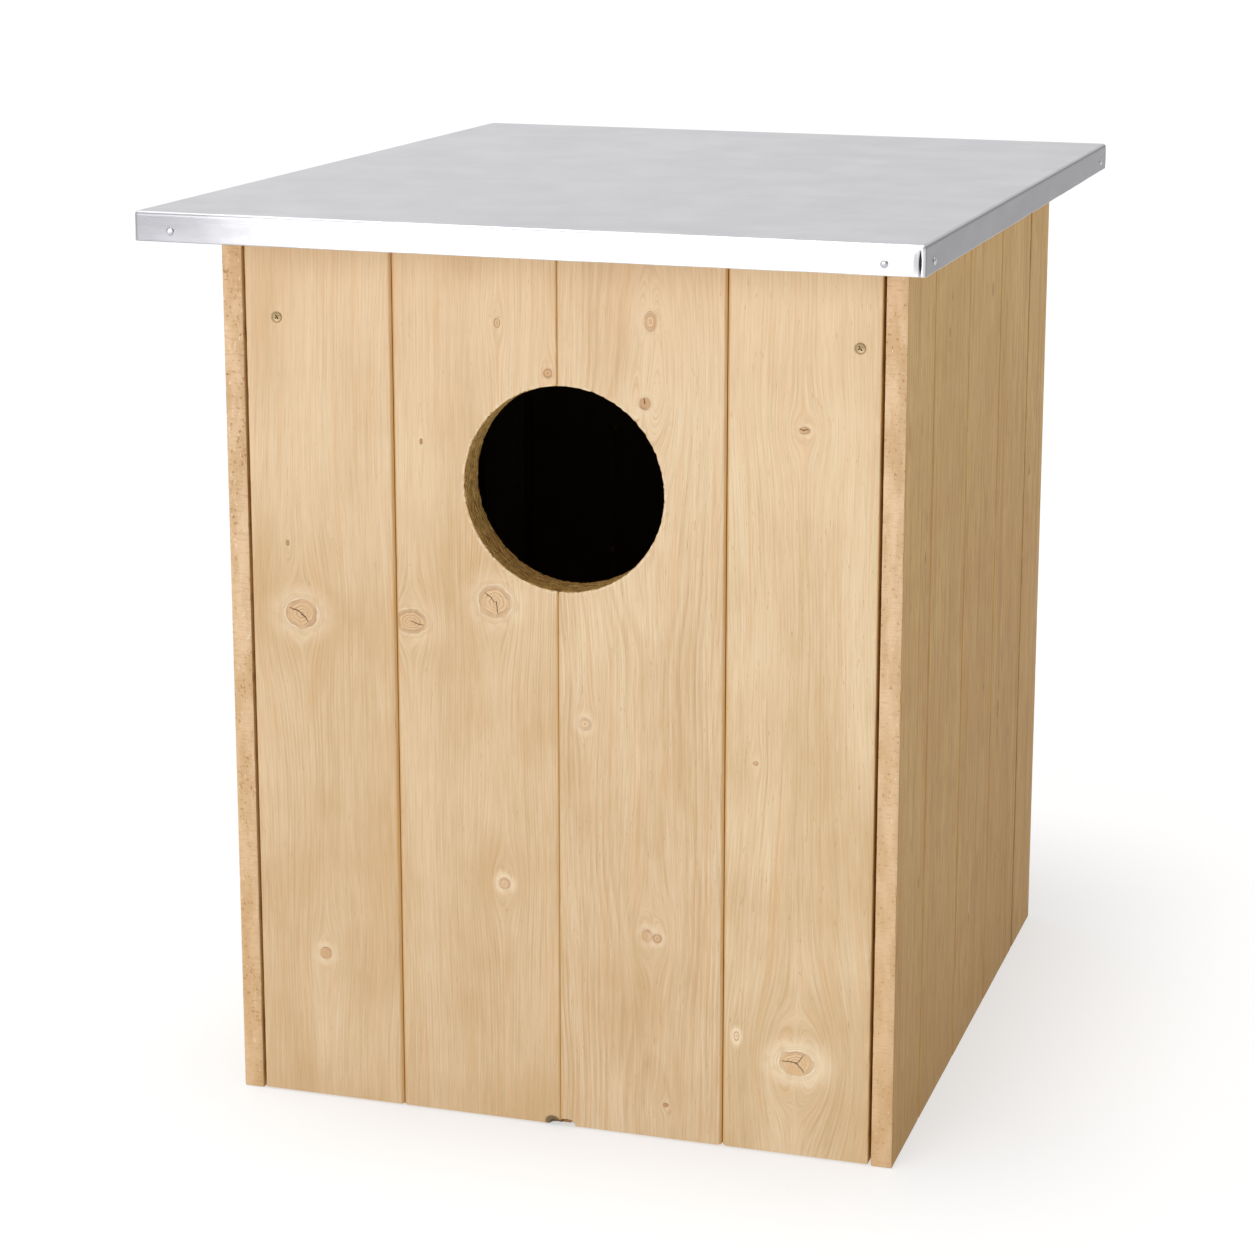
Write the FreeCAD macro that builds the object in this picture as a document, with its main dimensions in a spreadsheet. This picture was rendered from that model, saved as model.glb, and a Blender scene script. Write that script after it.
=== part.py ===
"""Owl nest box: tongue-and-groove board walls on a batten frame, a lift-off front panel and a
folded metal roof.

Millimetres. The origin is the middle of the underside, +X is the viewer's right when facing the
entrance, +Y runs from the front to the back and +Z is up.
"""
import FreeCAD, Part
import Sketcher
import math
import os

from FreeCAD import Placement, Rotation, Vector

SIZES = {
    # the box
    "box_width": 460,
    "box_depth": 496,
    "wall_height": 601,
    "roof_fall": 10,
    # tongue-and-groove board, one size all over the box
    "board_thickness": 14,
    "board_cover": 113,
    "tongue_length": 6,
    "tongue_thickness": 4,
    "groove_slack": 0.3,
    "vee_depth": 1.5,
    # front panel
    "panel_side_gap": 2,
    "panel_back_gap": 0.5,
    "panel_floor_gap": 1,
    "panel_top_gap": 3,
    "panel_joint_offset": 1.5,
    "entrance_diameter": 136,
    "entrance_offset": 5.5,
    "entrance_height": 441,
    "hole_plate_thickness": 12,
    "hole_plate_margin": 30,
    "side_joint_offset": 83,
    # batten frame
    "batten_thickness": 20,
    "batten_width": 34,
    "cleat_end_gap": 2,
    "cleat_plate_gap": 1,
    "cleat_middle_height": 318,
    "cleat_top_height": 536,
    # roof
    "roof_board_thickness": 18,
    "roof_side_overhang": 26,
    "roof_front_overhang": 75,
    "roof_back_overhang": 102,
    "sheet_thickness": 0.8,
    "bend_radius": 0.8,
    "flange_height": 19.2,
    "corner_slit": 1.0,
    # fasteners
    "nail_diameter": 2.2,
    "nail_head_diameter": 4.8,
    "nail_head_height": 1.0,
    "nail_length": 30,
    "sheet_nail_diameter": 1.8,
    "sheet_nail_head_diameter": 5.2,
    "sheet_nail_head_height": 1.3,
    "sheet_nail_length": 18,
    "sheet_nail_inset": 25,
    "sheet_nail_height": 6.5,
    "deck_screw_length": 44,
    "panel_screw_diameter": 4,
    "panel_screw_head": 7.6,
    "panel_screw_length": 32,
    "panel_screw_hole": 4.6,
    "panel_screw_sunk": 0.2,
    "countersink_slack": 0.3,
    "panel_screw_left": -192,
    "panel_screw_right": 200,
    "panel_screw_height": 544,
    "dowel_diameter": 6,
    "dowel_length": 30,
    "dowel_chamfer": 1,
    "dowel_end_gap": 1,
    "dowel_hole": 6.8,
    "dowel_hole_depth": 9.5,
    "dowel_spread": 150,
    # holes in the floor, which drain it and fix the box down
    "floor_hole": 7,
    "floor_hole_spread": 150,
}

document = FreeCAD.newDocument("owl_nest_box")
sheet = document.addObject("Spreadsheet::Sheet", "Sizes")
for row, (alias, size) in enumerate(SIZES.items(), start=1):
    sheet.set(f"A{row}", alias)
    sheet.set(f"B{row}", str(size))
    sheet.setAlias(f"B{row}", alias)
document.recompute()
parts = []


# ---------------------------------------------------------------- reading and binding sizes


def value(expression):
    """The number that an expression of the sheet's sizes comes to."""
    return float(sheet.evalExpression(str(expression)))


def number(alias):
    """One size of the sheet."""
    return float(getattr(sheet, alias))


def bind(feature, **expressions):
    """Ties properties of a feature to expressions of the sheet's sizes."""
    for name, expression in expressions.items():
        feature.setExpression(name, str(expression))


# ---------------------------------------------------------------- sketches and features


def new_body(label):
    """An empty sub-part, kept in the list of what is written at the end."""
    body = document.addObject("PartDesign::Body", label)
    body.Label = label
    parts.append(body)
    return body


def new_sketch(body, name, plane, offset=0.0):
    """A sketch on one of the body's own origin planes, or that far along the plane's normal."""
    sketch = body.newObject("Sketcher::SketchObject", name)
    origin_plane = next(item for item in body.Origin.OriginFeatures if item.Role == plane)
    sketch.AttachmentSupport = (origin_plane, [""])
    sketch.MapMode = "FlatFace"
    sketch.AttachmentOffset = Placement(Vector(0, 0, offset), Rotation())
    return sketch


def pin_point(sketch, geometry, point, place):
    """Ties one point of a sketch to a pair of expressions."""
    for kind, expression in zip(("DistanceX", "DistanceY"), place):
        rule = Sketcher.Constraint(kind, -1, 1, geometry, point, value(expression))
        index = sketch.addConstraint(rule)
        sketch.setExpression(f"Constraints[{index}]", str(expression))


def draw_polygon(sketch, corners):
    """A closed outline through corners, each a pair of expressions."""
    points = [Vector(value(across), value(along), 0) for across, along in corners]
    first = sketch.GeometryCount
    count = len(points)
    for start, end in zip(points, points[1:] + points[:1]):
        sketch.addGeometry(Part.LineSegment(start, end))
    for index in range(count):
        following = first + (index + 1) % count
        sketch.addConstraint(Sketcher.Constraint("Coincident", first + index, 2, following, 1))
    for index, corner in enumerate(corners):
        pin_point(sketch, first + index, 1, corner)


def draw_rectangle(sketch, low, high):
    """An upright rectangle between two corners."""
    corners = [low, (high[0], low[1]), high, (low[0], high[1])]
    draw_polygon(sketch, corners)


def draw_circle(sketch, centre, diameter):
    """A circle from its centre and diameter."""
    middle = Vector(value(centre[0]), value(centre[1]), 0)
    circle = Part.Circle(middle, Vector(0, 0, 1), value(diameter) / 2)
    index = sketch.addGeometry(circle)
    pin_point(sketch, index, 3, centre)
    rule = sketch.addConstraint(Sketcher.Constraint("Diameter", index, value(diameter)))
    sketch.setExpression(f"Constraints[{rule}]", str(diameter))


def pad(body, sketch, length):
    """Material from a sketch along its plane's normal."""
    feature = body.newObject("PartDesign::Pad", sketch.Name + "Pad")
    feature.Profile = sketch
    bind(feature, Length=length)
    body.Tip = feature
    document.recompute()


def pocket(body, sketch, depth=None, along_normal=False):
    """A cut from a sketch: through everything, or to a depth. It has to take material away."""
    before = body.Shape.Volume
    feature = body.newObject("PartDesign::Pocket", sketch.Name + "Pocket")
    feature.Profile = sketch
    feature.Reversed = along_normal
    if depth is None:
        feature.Type = "ThroughAll"
    else:
        bind(feature, Length=depth)
    body.Tip = feature
    document.recompute()
    if body.Shape.Volume >= before:
        raise RuntimeError(f"{body.Label}: {sketch.Name} cuts nothing")


def round_edges(body, radius, chosen):
    """A fillet on the edges of the body that chosen(edge) picks."""
    base = body.Tip
    names = [f"Edge{i}" for i, edge in enumerate(base.Shape.Edges, start=1) if chosen(edge)]
    feature = body.newObject("PartDesign::Fillet", "Bend")
    feature.Base = (base, names)
    bind(feature, Radius=radius)
    body.Tip = feature
    document.recompute()


def revolve(body, sketch):
    """A turned solid about the sketch's upright axis."""
    feature = body.newObject("PartDesign::Revolution", sketch.Name + "Turned")
    feature.Profile = sketch
    feature.ReferenceAxis = (sketch, ["V_Axis"])
    feature.Angle = 360
    body.Tip = feature
    document.recompute()


def turned(across, through, along):
    """The rotation that takes a piece's own X, Y and Z to these directions."""
    return Rotation(Vector(*across), Vector(*through), Vector(*along), "ZYX")


# ---------------------------------------------------------------- tongue-and-groove boards

JOINT_VEE = "Sizes.vee_depth"
WALL_THICKNESS = "Sizes.board_thickness"
ROOF_THICKNESS = "Sizes.roof_board_thickness"


def tongue_side(width, thickness):
    """Corners up the right-hand edge of a board that has its tongue."""
    reach = f"{width} + Sizes.tongue_length"
    low = f"{thickness} / 2 - Sizes.tongue_thickness / 2"
    high = f"{thickness} / 2 + Sizes.tongue_thickness / 2"
    return [
        (f"{width} - {JOINT_VEE}", 0),
        (width, JOINT_VEE),
        (width, low),
        (reach, low),
        (reach, high),
        (width, high),
        (width, thickness),
    ]


def groove_side(thickness):
    """Corners down the left-hand edge of a board that has its groove."""
    half_gap = "(Sizes.tongue_thickness + Sizes.groove_slack) / 2"
    low = f"{thickness} / 2 - {half_gap}"
    high = f"{thickness} / 2 + {half_gap}"
    depth = "Sizes.tongue_length + Sizes.groove_slack"
    return [
        (0, thickness),
        (0, high),
        (depth, high),
        (depth, low),
        (0, low),
        (0, JOINT_VEE),
        (JOINT_VEE, 0),
    ]


def board(label, width, length, thickness, groove, tongue):
    """A board standing on end: width along X, length up Z, its face on Y = 0. An edge with no
    groove or tongue was sawn square."""
    body = new_body(label)
    right = tongue_side(width, thickness) if tongue else [(width, 0), (width, thickness)]
    left = groove_side(thickness) if groove else [(0, thickness), (0, 0)]
    sketch = new_sketch(body, "Section", "XY_Plane")
    draw_polygon(sketch, right + left)
    pad(body, sketch, length)
    return body


def board_run(labels, joints, length, rotation, start, thickness=WALL_THICKNESS):
    """Boards side by side. joints are the distances of the edges from the run's start, and
    start is where the run's own origin lies in the box."""
    boards = []
    last = len(labels) - 1
    for index, label in enumerate(labels):
        width = f"({joints[index + 1]} - ({joints[index]}))"
        body = board(label, width, length, thickness, groove=index > 0, tongue=index < last)
        shift = rotation.multVec(Vector(value(joints[index]), 0, 0))
        body.Placement = Placement(start + shift, rotation)
        boards.append(body)
    return boards


SAW_PAST = 20


def saw_top(body, left_height, right_height, width):
    """Saws the top of a standing board along the roof's slope. The cut runs on past its edges."""
    past = str(SAW_PAST)
    top = f"Sizes.wall_height + {past}"
    sketch = new_sketch(body, "RoofLine", "XZ_Plane")
    slope = f"(({right_height}) - ({left_height})) / ({width})"
    corners = [
        (f"-{past}", f"{left_height} - {past} * {slope}"),
        (f"{width} + {past}", f"{right_height} + {past} * {slope}"),
        (f"{width} + {past}", top),
        (f"-{past}", top),
    ]
    draw_polygon(sketch, corners)
    pocket(body, sketch)


def roof_line(from_front):
    """Height of the deck's underside at a distance behind the front face."""
    return f"(Sizes.wall_height - ({from_front}) * Sizes.roof_fall / Sizes.box_depth)"


HALF_WIDTH = number("box_width") / 2
HALF_DEPTH = number("box_depth") / 2
WALL = number("board_thickness")


# ---------------------------------------------------------------- walls


def side_joints():
    """Board edges of a side wall, measured back from the front."""
    first = "Sizes.side_joint_offset"
    inner = [f"{first} + {count} * Sizes.board_cover" for count in range(4)]
    return ["0"] + inner + ["Sizes.box_depth"]


def make_right_wall():
    """Right wall: its boards run from the front to the back."""
    joints = side_joints()
    labels = [f"right_wall_board_{count}" for count in range(1, len(joints))]
    rotation = turned((0, 1, 0), (-1, 0, 0), (0, 0, 1))
    start = Vector(HALF_WIDTH, -HALF_DEPTH, 0)
    boards = board_run(labels, joints, "Sizes.wall_height", rotation, start)
    for body, near, far in zip(boards, joints, joints[1:]):
        saw_top(body, roof_line(near), roof_line(far), f"({far} - ({near}))")


def make_left_wall():
    """Left wall, the right wall's mirror image. A board can't be mirrored, so this run starts
    at the back."""
    joints = side_joints()
    from_back = [f"Sizes.box_depth - ({joint})" for joint in reversed(joints)]
    count = len(joints) - 1
    labels = [f"left_wall_board_{count - index}" for index in range(count)]
    rotation = turned((0, -1, 0), (1, 0, 0), (0, 0, 1))
    start = Vector(-HALF_WIDTH, HALF_DEPTH, 0)
    boards = board_run(labels, from_back, "Sizes.wall_height", rotation, start)
    ends = list(reversed(joints))
    for body, far, near in zip(boards, ends, ends[1:]):
        saw_top(body, roof_line(far), roof_line(near), f"({far} - ({near}))")


INNER_WIDTH = "(Sizes.box_width - 2 * Sizes.board_thickness)"
BACK_FACE = "(Sizes.box_depth - Sizes.board_thickness)"


def make_back_wall():
    """Back wall, set between the side walls."""
    outer = f"({INNER_WIDTH} / 2 - Sizes.board_cover)"
    joints = ["0"] + [f"{outer} + {count} * Sizes.board_cover" for count in range(3)]
    joints.append(INNER_WIDTH)
    labels = [f"back_wall_board_{count}" for count in range(1, 5)]
    rotation = turned((-1, 0, 0), (0, -1, 0), (0, 0, 1))
    start = Vector(value(INNER_WIDTH) / 2, HALF_DEPTH, 0)
    board_run(labels, joints, roof_line("Sizes.box_depth"), rotation, start)


def make_floor():
    """Floor boards, from side wall to side wall, behind the front panel. The second and the
    fourth have two holes each."""
    start_gap = "Sizes.board_thickness + Sizes.panel_back_gap"
    depth = f"({BACK_FACE} - ({start_gap}))"
    edge = f"({depth} - 3 * Sizes.board_cover) / 2"
    joints = ["0"] + [f"{edge} + {count} * Sizes.board_cover" for count in range(4)]
    joints.append(depth)
    labels = [f"floor_board_{count}" for count in range(1, 6)]
    rotation = turned((0, 1, 0), (0, 0, 1), (1, 0, 0))
    start = Vector(-value(INNER_WIDTH) / 2, -HALF_DEPTH + value(start_gap), 0)
    boards = board_run(labels, joints, INNER_WIDTH, rotation, start)
    for body in (boards[1], boards[3]):
        sketch = new_sketch(body, "FloorHoles", "XZ_Plane")
        for side in (-1, 1):
            along = f"{INNER_WIDTH} / 2 + ({side}) * Sizes.floor_hole_spread"
            draw_circle(sketch, ("Sizes.board_cover / 2", along), "Sizes.floor_hole")
        pocket(body, sketch)


# ---------------------------------------------------------------- front panel

PANEL_HALF = f"({INNER_WIDTH} / 2 - Sizes.panel_side_gap)"
PANEL_HEIGHT = "(Sizes.wall_height - Sizes.panel_top_gap - Sizes.panel_floor_gap)"


def panel_joints():
    """Board edges of the front panel, measured from its left edge."""
    middle = f"{PANEL_HALF} + Sizes.panel_joint_offset"
    inner = [f"{middle} + ({count}) * Sizes.board_cover" for count in (-1, 0, 1)]
    return ["0"] + inner + [f"2 * {PANEL_HALF}"]


def countersunk_hole(body, across, height):
    """A countersunk clearance hole from the face of a board."""
    sketch = new_sketch(body, "ScrewHole", "XZ_Plane")
    draw_circle(sketch, (across, height), "Sizes.panel_screw_hole")
    pocket(body, sketch)
    mouth = value("Sizes.panel_screw_hole") / 2
    before = body.Shape.Volume
    base = body.Tip
    names = [
        f"Edge{index}"
        for index, edge in enumerate(base.Shape.Edges, start=1)
        if isinstance(edge.Curve, Part.Circle)
        and abs(edge.Curve.Radius - mouth) < 1e-6
        and abs(edge.Curve.Center.y) < 1e-6
    ]
    cone = body.newObject("PartDesign::Chamfer", "Countersink")
    cone.Base = (base, names)
    rim = "(Sizes.panel_screw_head - Sizes.panel_screw_hole) / 2"
    bind(cone, Size=f"{rim} + Sizes.countersink_slack")
    body.Tip = cone
    document.recompute()
    if body.Shape.Volume >= before:
        raise RuntimeError(f"{body.Label}: the countersink cuts nothing")


def dowel_hole(body, across):
    """A blind hole in the back of a front board, which the locating dowel enters."""
    sketch = new_sketch(body, "DowelHole", "XZ_Plane", offset=-WALL)
    height = "Sizes.board_thickness / 2 - Sizes.panel_floor_gap"
    draw_circle(sketch, (across, height), "Sizes.dowel_hole")
    pocket(body, sketch, depth="Sizes.dowel_hole_depth", along_normal=True)


def make_front_boards():
    """The four boards of the lift-off front, with the entrance across the middle joint."""
    joints = panel_joints()
    labels = [f"front_board_{count}" for count in range(1, 5)]
    rotation = turned((1, 0, 0), (0, 1, 0), (0, 0, 1))
    start = Vector(-value(PANEL_HALF), -HALF_DEPTH, number("panel_floor_gap"))
    boards = board_run(labels, joints, PANEL_HEIGHT, rotation, start)
    height = "Sizes.entrance_height - Sizes.panel_floor_gap"
    for index in (1, 2):
        sketch = new_sketch(boards[index], "Entrance", "XZ_Plane")
        across = f"{PANEL_HALF} + Sizes.entrance_offset - ({joints[index]})"
        draw_circle(sketch, (across, height), "Sizes.entrance_diameter")
        pocket(boards[index], sketch)
    screw_height = "Sizes.panel_screw_height - Sizes.panel_floor_gap"
    for index, side, screw in ((0, -1, "panel_screw_left"), (3, 1, "panel_screw_right")):
        edge = joints[index]
        countersunk_hole(boards[index], f"{PANEL_HALF} + Sizes.{screw} - ({edge})", screw_height)
        dowel_hole(boards[index], f"{PANEL_HALF} + ({side}) * Sizes.dowel_spread - ({edge})")


# ---------------------------------------------------------------- batten frame

FRAME_FRONT = number("board_thickness") + number("panel_back_gap") - HALF_DEPTH
FRAME_BACK = HALF_DEPTH - WALL
FRAME_SIDE = HALF_WIDTH - WALL
BATTEN = number("batten_thickness")
POST_EDGE = FRAME_SIDE - number("batten_width")


def make_post(label, side, near):
    """An upright batten in one corner, standing on the floor. side is -1 on the left."""
    body = new_body(label)
    sketch = new_sketch(body, "Section", "XY_Plane")
    draw_rectangle(sketch, (0, 0), ("Sizes.batten_width", "Sizes.batten_thickness"))
    behind_front = near + BATTEN + HALF_DEPTH
    pad(body, sketch, f"{roof_line(behind_front)} - Sizes.board_thickness")
    left_edge = -FRAME_SIDE if side < 0 else FRAME_SIDE - number("batten_width")
    body.Placement = Placement(Vector(left_edge, near, WALL), Rotation())
    return body


def drill_post(body, screw, left_edge):
    """The pilot hole that a front panel screw bites into."""
    sketch = new_sketch(body, "Pilot", "XZ_Plane")
    place = (f"Sizes.{screw} - ({left_edge})", "Sizes.panel_screw_height - Sizes.board_thickness")
    draw_circle(sketch, place, "Sizes.panel_screw_hole")
    pocket(body, sketch)


def make_posts():
    """Four corner posts. The front ones are what the panel closes against."""
    back = FRAME_BACK - BATTEN
    for label, side, screw in (
        ("front_left_post", -1, "panel_screw_left"),
        ("front_right_post", 1, "panel_screw_right"),
    ):
        post = make_post(label, side, FRAME_FRONT)
        drill_post(post, screw, post.Placement.Base.x)
    make_post("back_left_post", -1, back)
    make_post("back_right_post", 1, back)


def make_side_rail(label, side, top):
    """A rail along a side wall, between the posts. A top rail follows the roof's slope."""
    body = new_body(label)
    sketch = new_sketch(body, "Elevation", "YZ_Plane")
    start = FRAME_FRONT + BATTEN
    end = FRAME_BACK - BATTEN
    if top:
        ends = [roof_line(place + HALF_DEPTH) for place in (start, end)]
    else:
        ends = ["(Sizes.board_thickness + Sizes.batten_width)"] * 2
    corners = [
        (start, f"{ends[0]} - Sizes.batten_width"),
        (end, f"{ends[1]} - Sizes.batten_width"),
        (end, ends[1]),
        (start, ends[0]),
    ]
    draw_polygon(sketch, corners)
    pad(body, sketch, "Sizes.batten_thickness")
    left_edge = -FRAME_SIDE if side < 0 else FRAME_SIDE - BATTEN
    body.Placement = Placement(Vector(left_edge, 0, 0), Rotation())


def make_cross_batten(label, half_length, near, top_height):
    """A batten from left to right. near is its front face."""
    body = new_body(label)
    sketch = new_sketch(body, "Section", "YZ_Plane")
    low = (0, f"{top_height} - Sizes.batten_width")
    draw_rectangle(sketch, low, ("Sizes.batten_thickness", top_height))
    pad(body, sketch, f"2 * ({half_length})")
    body.Placement = Placement(Vector(-value(half_length), near, 0), Rotation())


def make_rails():
    """Rails that tie the posts together under the deck and on the floor."""
    back = FRAME_BACK - BATTEN
    for name, side in (("left", -1), ("right", 1)):
        make_side_rail(f"{name}_bottom_rail", side, top=False)
        make_side_rail(f"{name}_top_rail", side, top=True)
    low = "Sizes.board_thickness + Sizes.batten_width"
    make_cross_batten("back_bottom_rail", POST_EDGE, back, low)
    make_cross_batten("back_top_rail", POST_EDGE, back, roof_line(FRAME_BACK + HALF_DEPTH))
    front_rail_back = FRAME_FRONT + BATTEN + HALF_DEPTH
    make_cross_batten("front_top_rail", POST_EDGE, FRAME_FRONT, roof_line(front_rail_back))


def make_cleats():
    """Cleats across the back of the front panel, between the posts."""
    half = f"({POST_EDGE} - Sizes.cleat_end_gap)"
    near = -HALF_DEPTH + WALL
    rise = "Sizes.batten_width / 2"
    low = "Sizes.board_thickness + Sizes.panel_floor_gap + Sizes.batten_width"
    make_cross_batten("front_cleat_bottom", half, near, low)
    make_cross_batten("front_cleat_middle", half, near, f"Sizes.cleat_middle_height + {rise}")
    make_cross_batten("front_cleat_top", half, near, f"Sizes.cleat_top_height + {rise}")


def make_hole_plate():
    """A plate behind the entrance, between the cleats. It makes the hole's wall deeper, so that
    a paw can't reach round it."""
    body = new_body("front_hole_plate")
    half = "(Sizes.entrance_diameter / 2 + Sizes.hole_plate_margin)"
    rise = "(Sizes.batten_width / 2 + Sizes.cleat_plate_gap)"
    centre = ("Sizes.entrance_offset", "Sizes.entrance_height")
    sketch = new_sketch(body, "Outline", "XZ_Plane")
    low = (f"{centre[0]} - {half}", f"Sizes.cleat_middle_height + {rise}")
    high = (f"{centre[0]} + {half}", f"Sizes.cleat_top_height - {rise}")
    draw_rectangle(sketch, low, high)
    draw_circle(sketch, centre, "Sizes.entrance_diameter")
    pad(body, sketch, "Sizes.hole_plate_thickness")
    back = -HALF_DEPTH + WALL + number("hole_plate_thickness")
    body.Placement = Placement(Vector(0, back, 0), Rotation())


# ---------------------------------------------------------------- roof

SLOPE = math.degrees(math.atan2(number("roof_fall"), number("box_depth")))
ROOF_FRAME = Placement(
    Vector(0, -HALF_DEPTH, number("wall_height")), Rotation(Vector(1, 0, 0), -SLOPE)
)
SHEET_HALF = "(Sizes.box_width / 2 + Sizes.roof_side_overhang)"
SHEET_LENGTH = "(Sizes.roof_front_overhang + Sizes.box_depth + Sizes.roof_back_overhang)"
DECK_INSET = "(Sizes.sheet_thickness + Sizes.bend_radius)"


def make_deck():
    """Roof boards from front to back, lying on the walls and the top rails."""
    width = f"(2 * ({SHEET_HALF} - {DECK_INSET}))"
    edge = f"({width} - 3 * Sizes.board_cover) / 2"
    joints = ["0"] + [f"{edge} + {count} * Sizes.board_cover" for count in range(4)]
    joints.append(width)
    labels = [f"roof_board_{count}" for count in range(1, 6)]
    own = turned((-1, 0, 0), (0, 0, 1), (0, 1, 0))
    rotation = ROOF_FRAME.Rotation.multiply(own)
    front = -value(f"Sizes.roof_front_overhang - {DECK_INSET}")
    start = ROOF_FRAME.multVec(Vector(value(width) / 2, front, 0))
    length = f"{SHEET_LENGTH} - 2 * {DECK_INSET}"
    board_run(list(reversed(labels)), joints, length, rotation, start, ROOF_THICKNESS)


def make_roof_sheet():
    """A folded metal tray over the deck, slit at its corners."""
    body = new_body("roof_sheet")
    half = SHEET_HALF
    low = "-Sizes.roof_front_overhang"
    high = f"{SHEET_LENGTH} - Sizes.roof_front_overhang"
    outside = new_sketch(body, "Outside", "XY_Plane")
    draw_rectangle(outside, (f"-{half}", low), (half, high))
    pad(body, outside, "Sizes.flange_height")
    crown = number("flange_height")
    round_edges(
        body,
        "Sizes.bend_radius + Sizes.sheet_thickness",
        lambda edge: edge.BoundBox.ZMin > crown - 1e-6,
    )
    wall = "Sizes.sheet_thickness"
    inside = new_sketch(body, "Inside", "XY_Plane")
    inside_low = (f"{wall} - {half}", f"{low} + {wall}")
    inside_high = (f"{half} - {wall}", f"{high} - {wall}")
    draw_rectangle(inside, inside_low, inside_high)
    pocket(body, inside, depth="Sizes.flange_height - Sizes.sheet_thickness", along_normal=True)
    ceiling = crown - number("sheet_thickness")
    round_edges(
        body,
        "Sizes.bend_radius",
        lambda edge: abs(edge.BoundBox.ZMin - ceiling) < 1e-6 and edge.BoundBox.ZLength < 1e-6,
    )
    slits = new_sketch(body, "CornerSlits", "XY_Plane")
    slit = "Sizes.corner_slit"
    for across, along in (
        (f"-{half} + {wall}", f"{low}"),
        (f"{half} - {wall} - {slit}", f"{low}"),
        (f"-{half} + {wall}", f"{high} - 2 * {wall}"),
        (f"{half} - {wall} - {slit}", f"{high} - 2 * {wall}"),
    ):
        draw_rectangle(slits, (across, along), (f"{across} + {slit}", f"{along} + 2 * {wall}"))
    depth = "Sizes.flange_height - 2 * (Sizes.bend_radius + Sizes.sheet_thickness)"
    pocket(body, slits, depth=depth, along_normal=True)
    drop = number("roof_board_thickness") + number("sheet_thickness") - crown
    body.Placement = ROOF_FRAME.multiply(Placement(Vector(0, 0, drop), Rotation()))


# ---------------------------------------------------------------- fasteners

# Where fasteners go. Pitches are in board covers from the middle of the box.
NAIL_END_MARGIN = 15
BACK_WALL_PITCHES = (-1.45, -0.5, 0.5, 1.45)
CLEAT_PITCHES = (-1.4, -0.5, 0.5, 1.4)
DECK_PITCHES = (-1.56, -1, 0, 1, 1.56)
POST_NAIL_HEIGHTS = (100, 300, 480)
POST_NAIL_SUNK = 8
FLOOR_NAIL_SHARES = (0.08, 0.26, 0.5, 0.74, 0.92)
FLOOR_NAIL_SUNK = 0.5


def turned_piece(name, outline):
    """A piece turned about Z, from half of its outline. It isn't a sub-part itself: groups
    of fasteners are copies of it."""
    body = document.addObject("PartDesign::Body", name)
    sketch = new_sketch(body, "HalfOutline", "XZ_Plane")
    draw_polygon(sketch, outline)
    revolve(body, sketch)
    return body


def nail_outline(diameter, head, head_height, length):
    """Half a nail: its head rises from Z = 0 and its point is down."""
    return [
        (0, f"-{length}"),
        (f"{diameter} / 2", f"-{length} + {diameter}"),
        (f"{diameter} / 2", 0),
        (f"{head} / 2", 0),
        (f"{head} / 2", f"{head_height} / 2"),
        (f"{head} / 4", head_height),
        (0, head_height),
    ]


def screw_outline(diameter, head, length):
    """Half a countersunk screw: the top of its head is at Z = 0 and its point is down."""
    taper = f"({head} - {diameter}) / 2"
    return [
        (0, f"-{length}"),
        (f"{diameter} / 2", f"-{length} + {diameter}"),
        (f"{diameter} / 2", f"-{taper}"),
        (f"{head} / 2", 0),
        (0, 0),
    ]


def pointing(place, direction):
    """The placement of a fastener driven in at a point, along a direction."""
    return Placement(Vector(*place), Rotation(Vector(0, 0, -1), Vector(*direction)))


def group(label, piece, placements):
    """A node of equal fasteners, each a solid of its own."""
    feature = document.addObject("Part::Feature", label)
    feature.Label = label
    solids = []
    for placement in placements:
        solid = piece.Shape.copy()
        solid.Placement = placement.multiply(solid.Placement)
        solids.append(solid)
    feature.Shape = Part.makeCompound(solids)
    feature.Placement = Placement()
    parts.append(feature)


def wall_nail_places():
    """Where along a side wall each of its boards is nailed."""
    joints = [value(joint) - HALF_DEPTH for joint in side_joints()]
    start = FRAME_FRONT + BATTEN + NAIL_END_MARGIN
    end = FRAME_BACK - BATTEN - NAIL_END_MARGIN
    return [min(max((near + far) / 2, start), end) for near, far in zip(joints, joints[1:])]


def rail_middle(along, top):
    """Height of the middle of a bottom rail, or of a top rail at a place along the box."""
    half = number("batten_width") / 2
    if top:
        return value(roof_line(along + HALF_DEPTH)) - half
    return WALL + half


def make_wall_nails(nail):
    """Nails from inside, through the rails into each wall board."""
    inner = FRAME_SIDE - BATTEN
    for name, side in (("left", -1), ("right", 1)):
        places = [
            pointing((side * inner, along, rail_middle(along, top)), (side, 0, 0))
            for top in (False, True)
            for along in wall_nail_places()
        ]
        group(f"{name}_wall_nails", nail, places)
    back = FRAME_BACK - BATTEN
    cover = number("board_cover")
    places = [
        pointing((across * cover, back, rail_middle(back, top)), (0, 1, 0))
        for top in (False, True)
        for across in BACK_WALL_PITCHES
    ]
    group("back_wall_nails", nail, places)


def make_post_nails(nail):
    """Nails from inside, sunk into each post and on into the side wall."""
    places = []
    for side in (-1, 1):
        for along in (FRAME_FRONT + BATTEN / 2, FRAME_BACK - BATTEN / 2):
            for height in POST_NAIL_HEIGHTS:
                start = (side * (POST_EDGE + POST_NAIL_SUNK), along, height)
                places.append(pointing(start, (side, 0, 0)))
    group("post_nails", nail, places)


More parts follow.
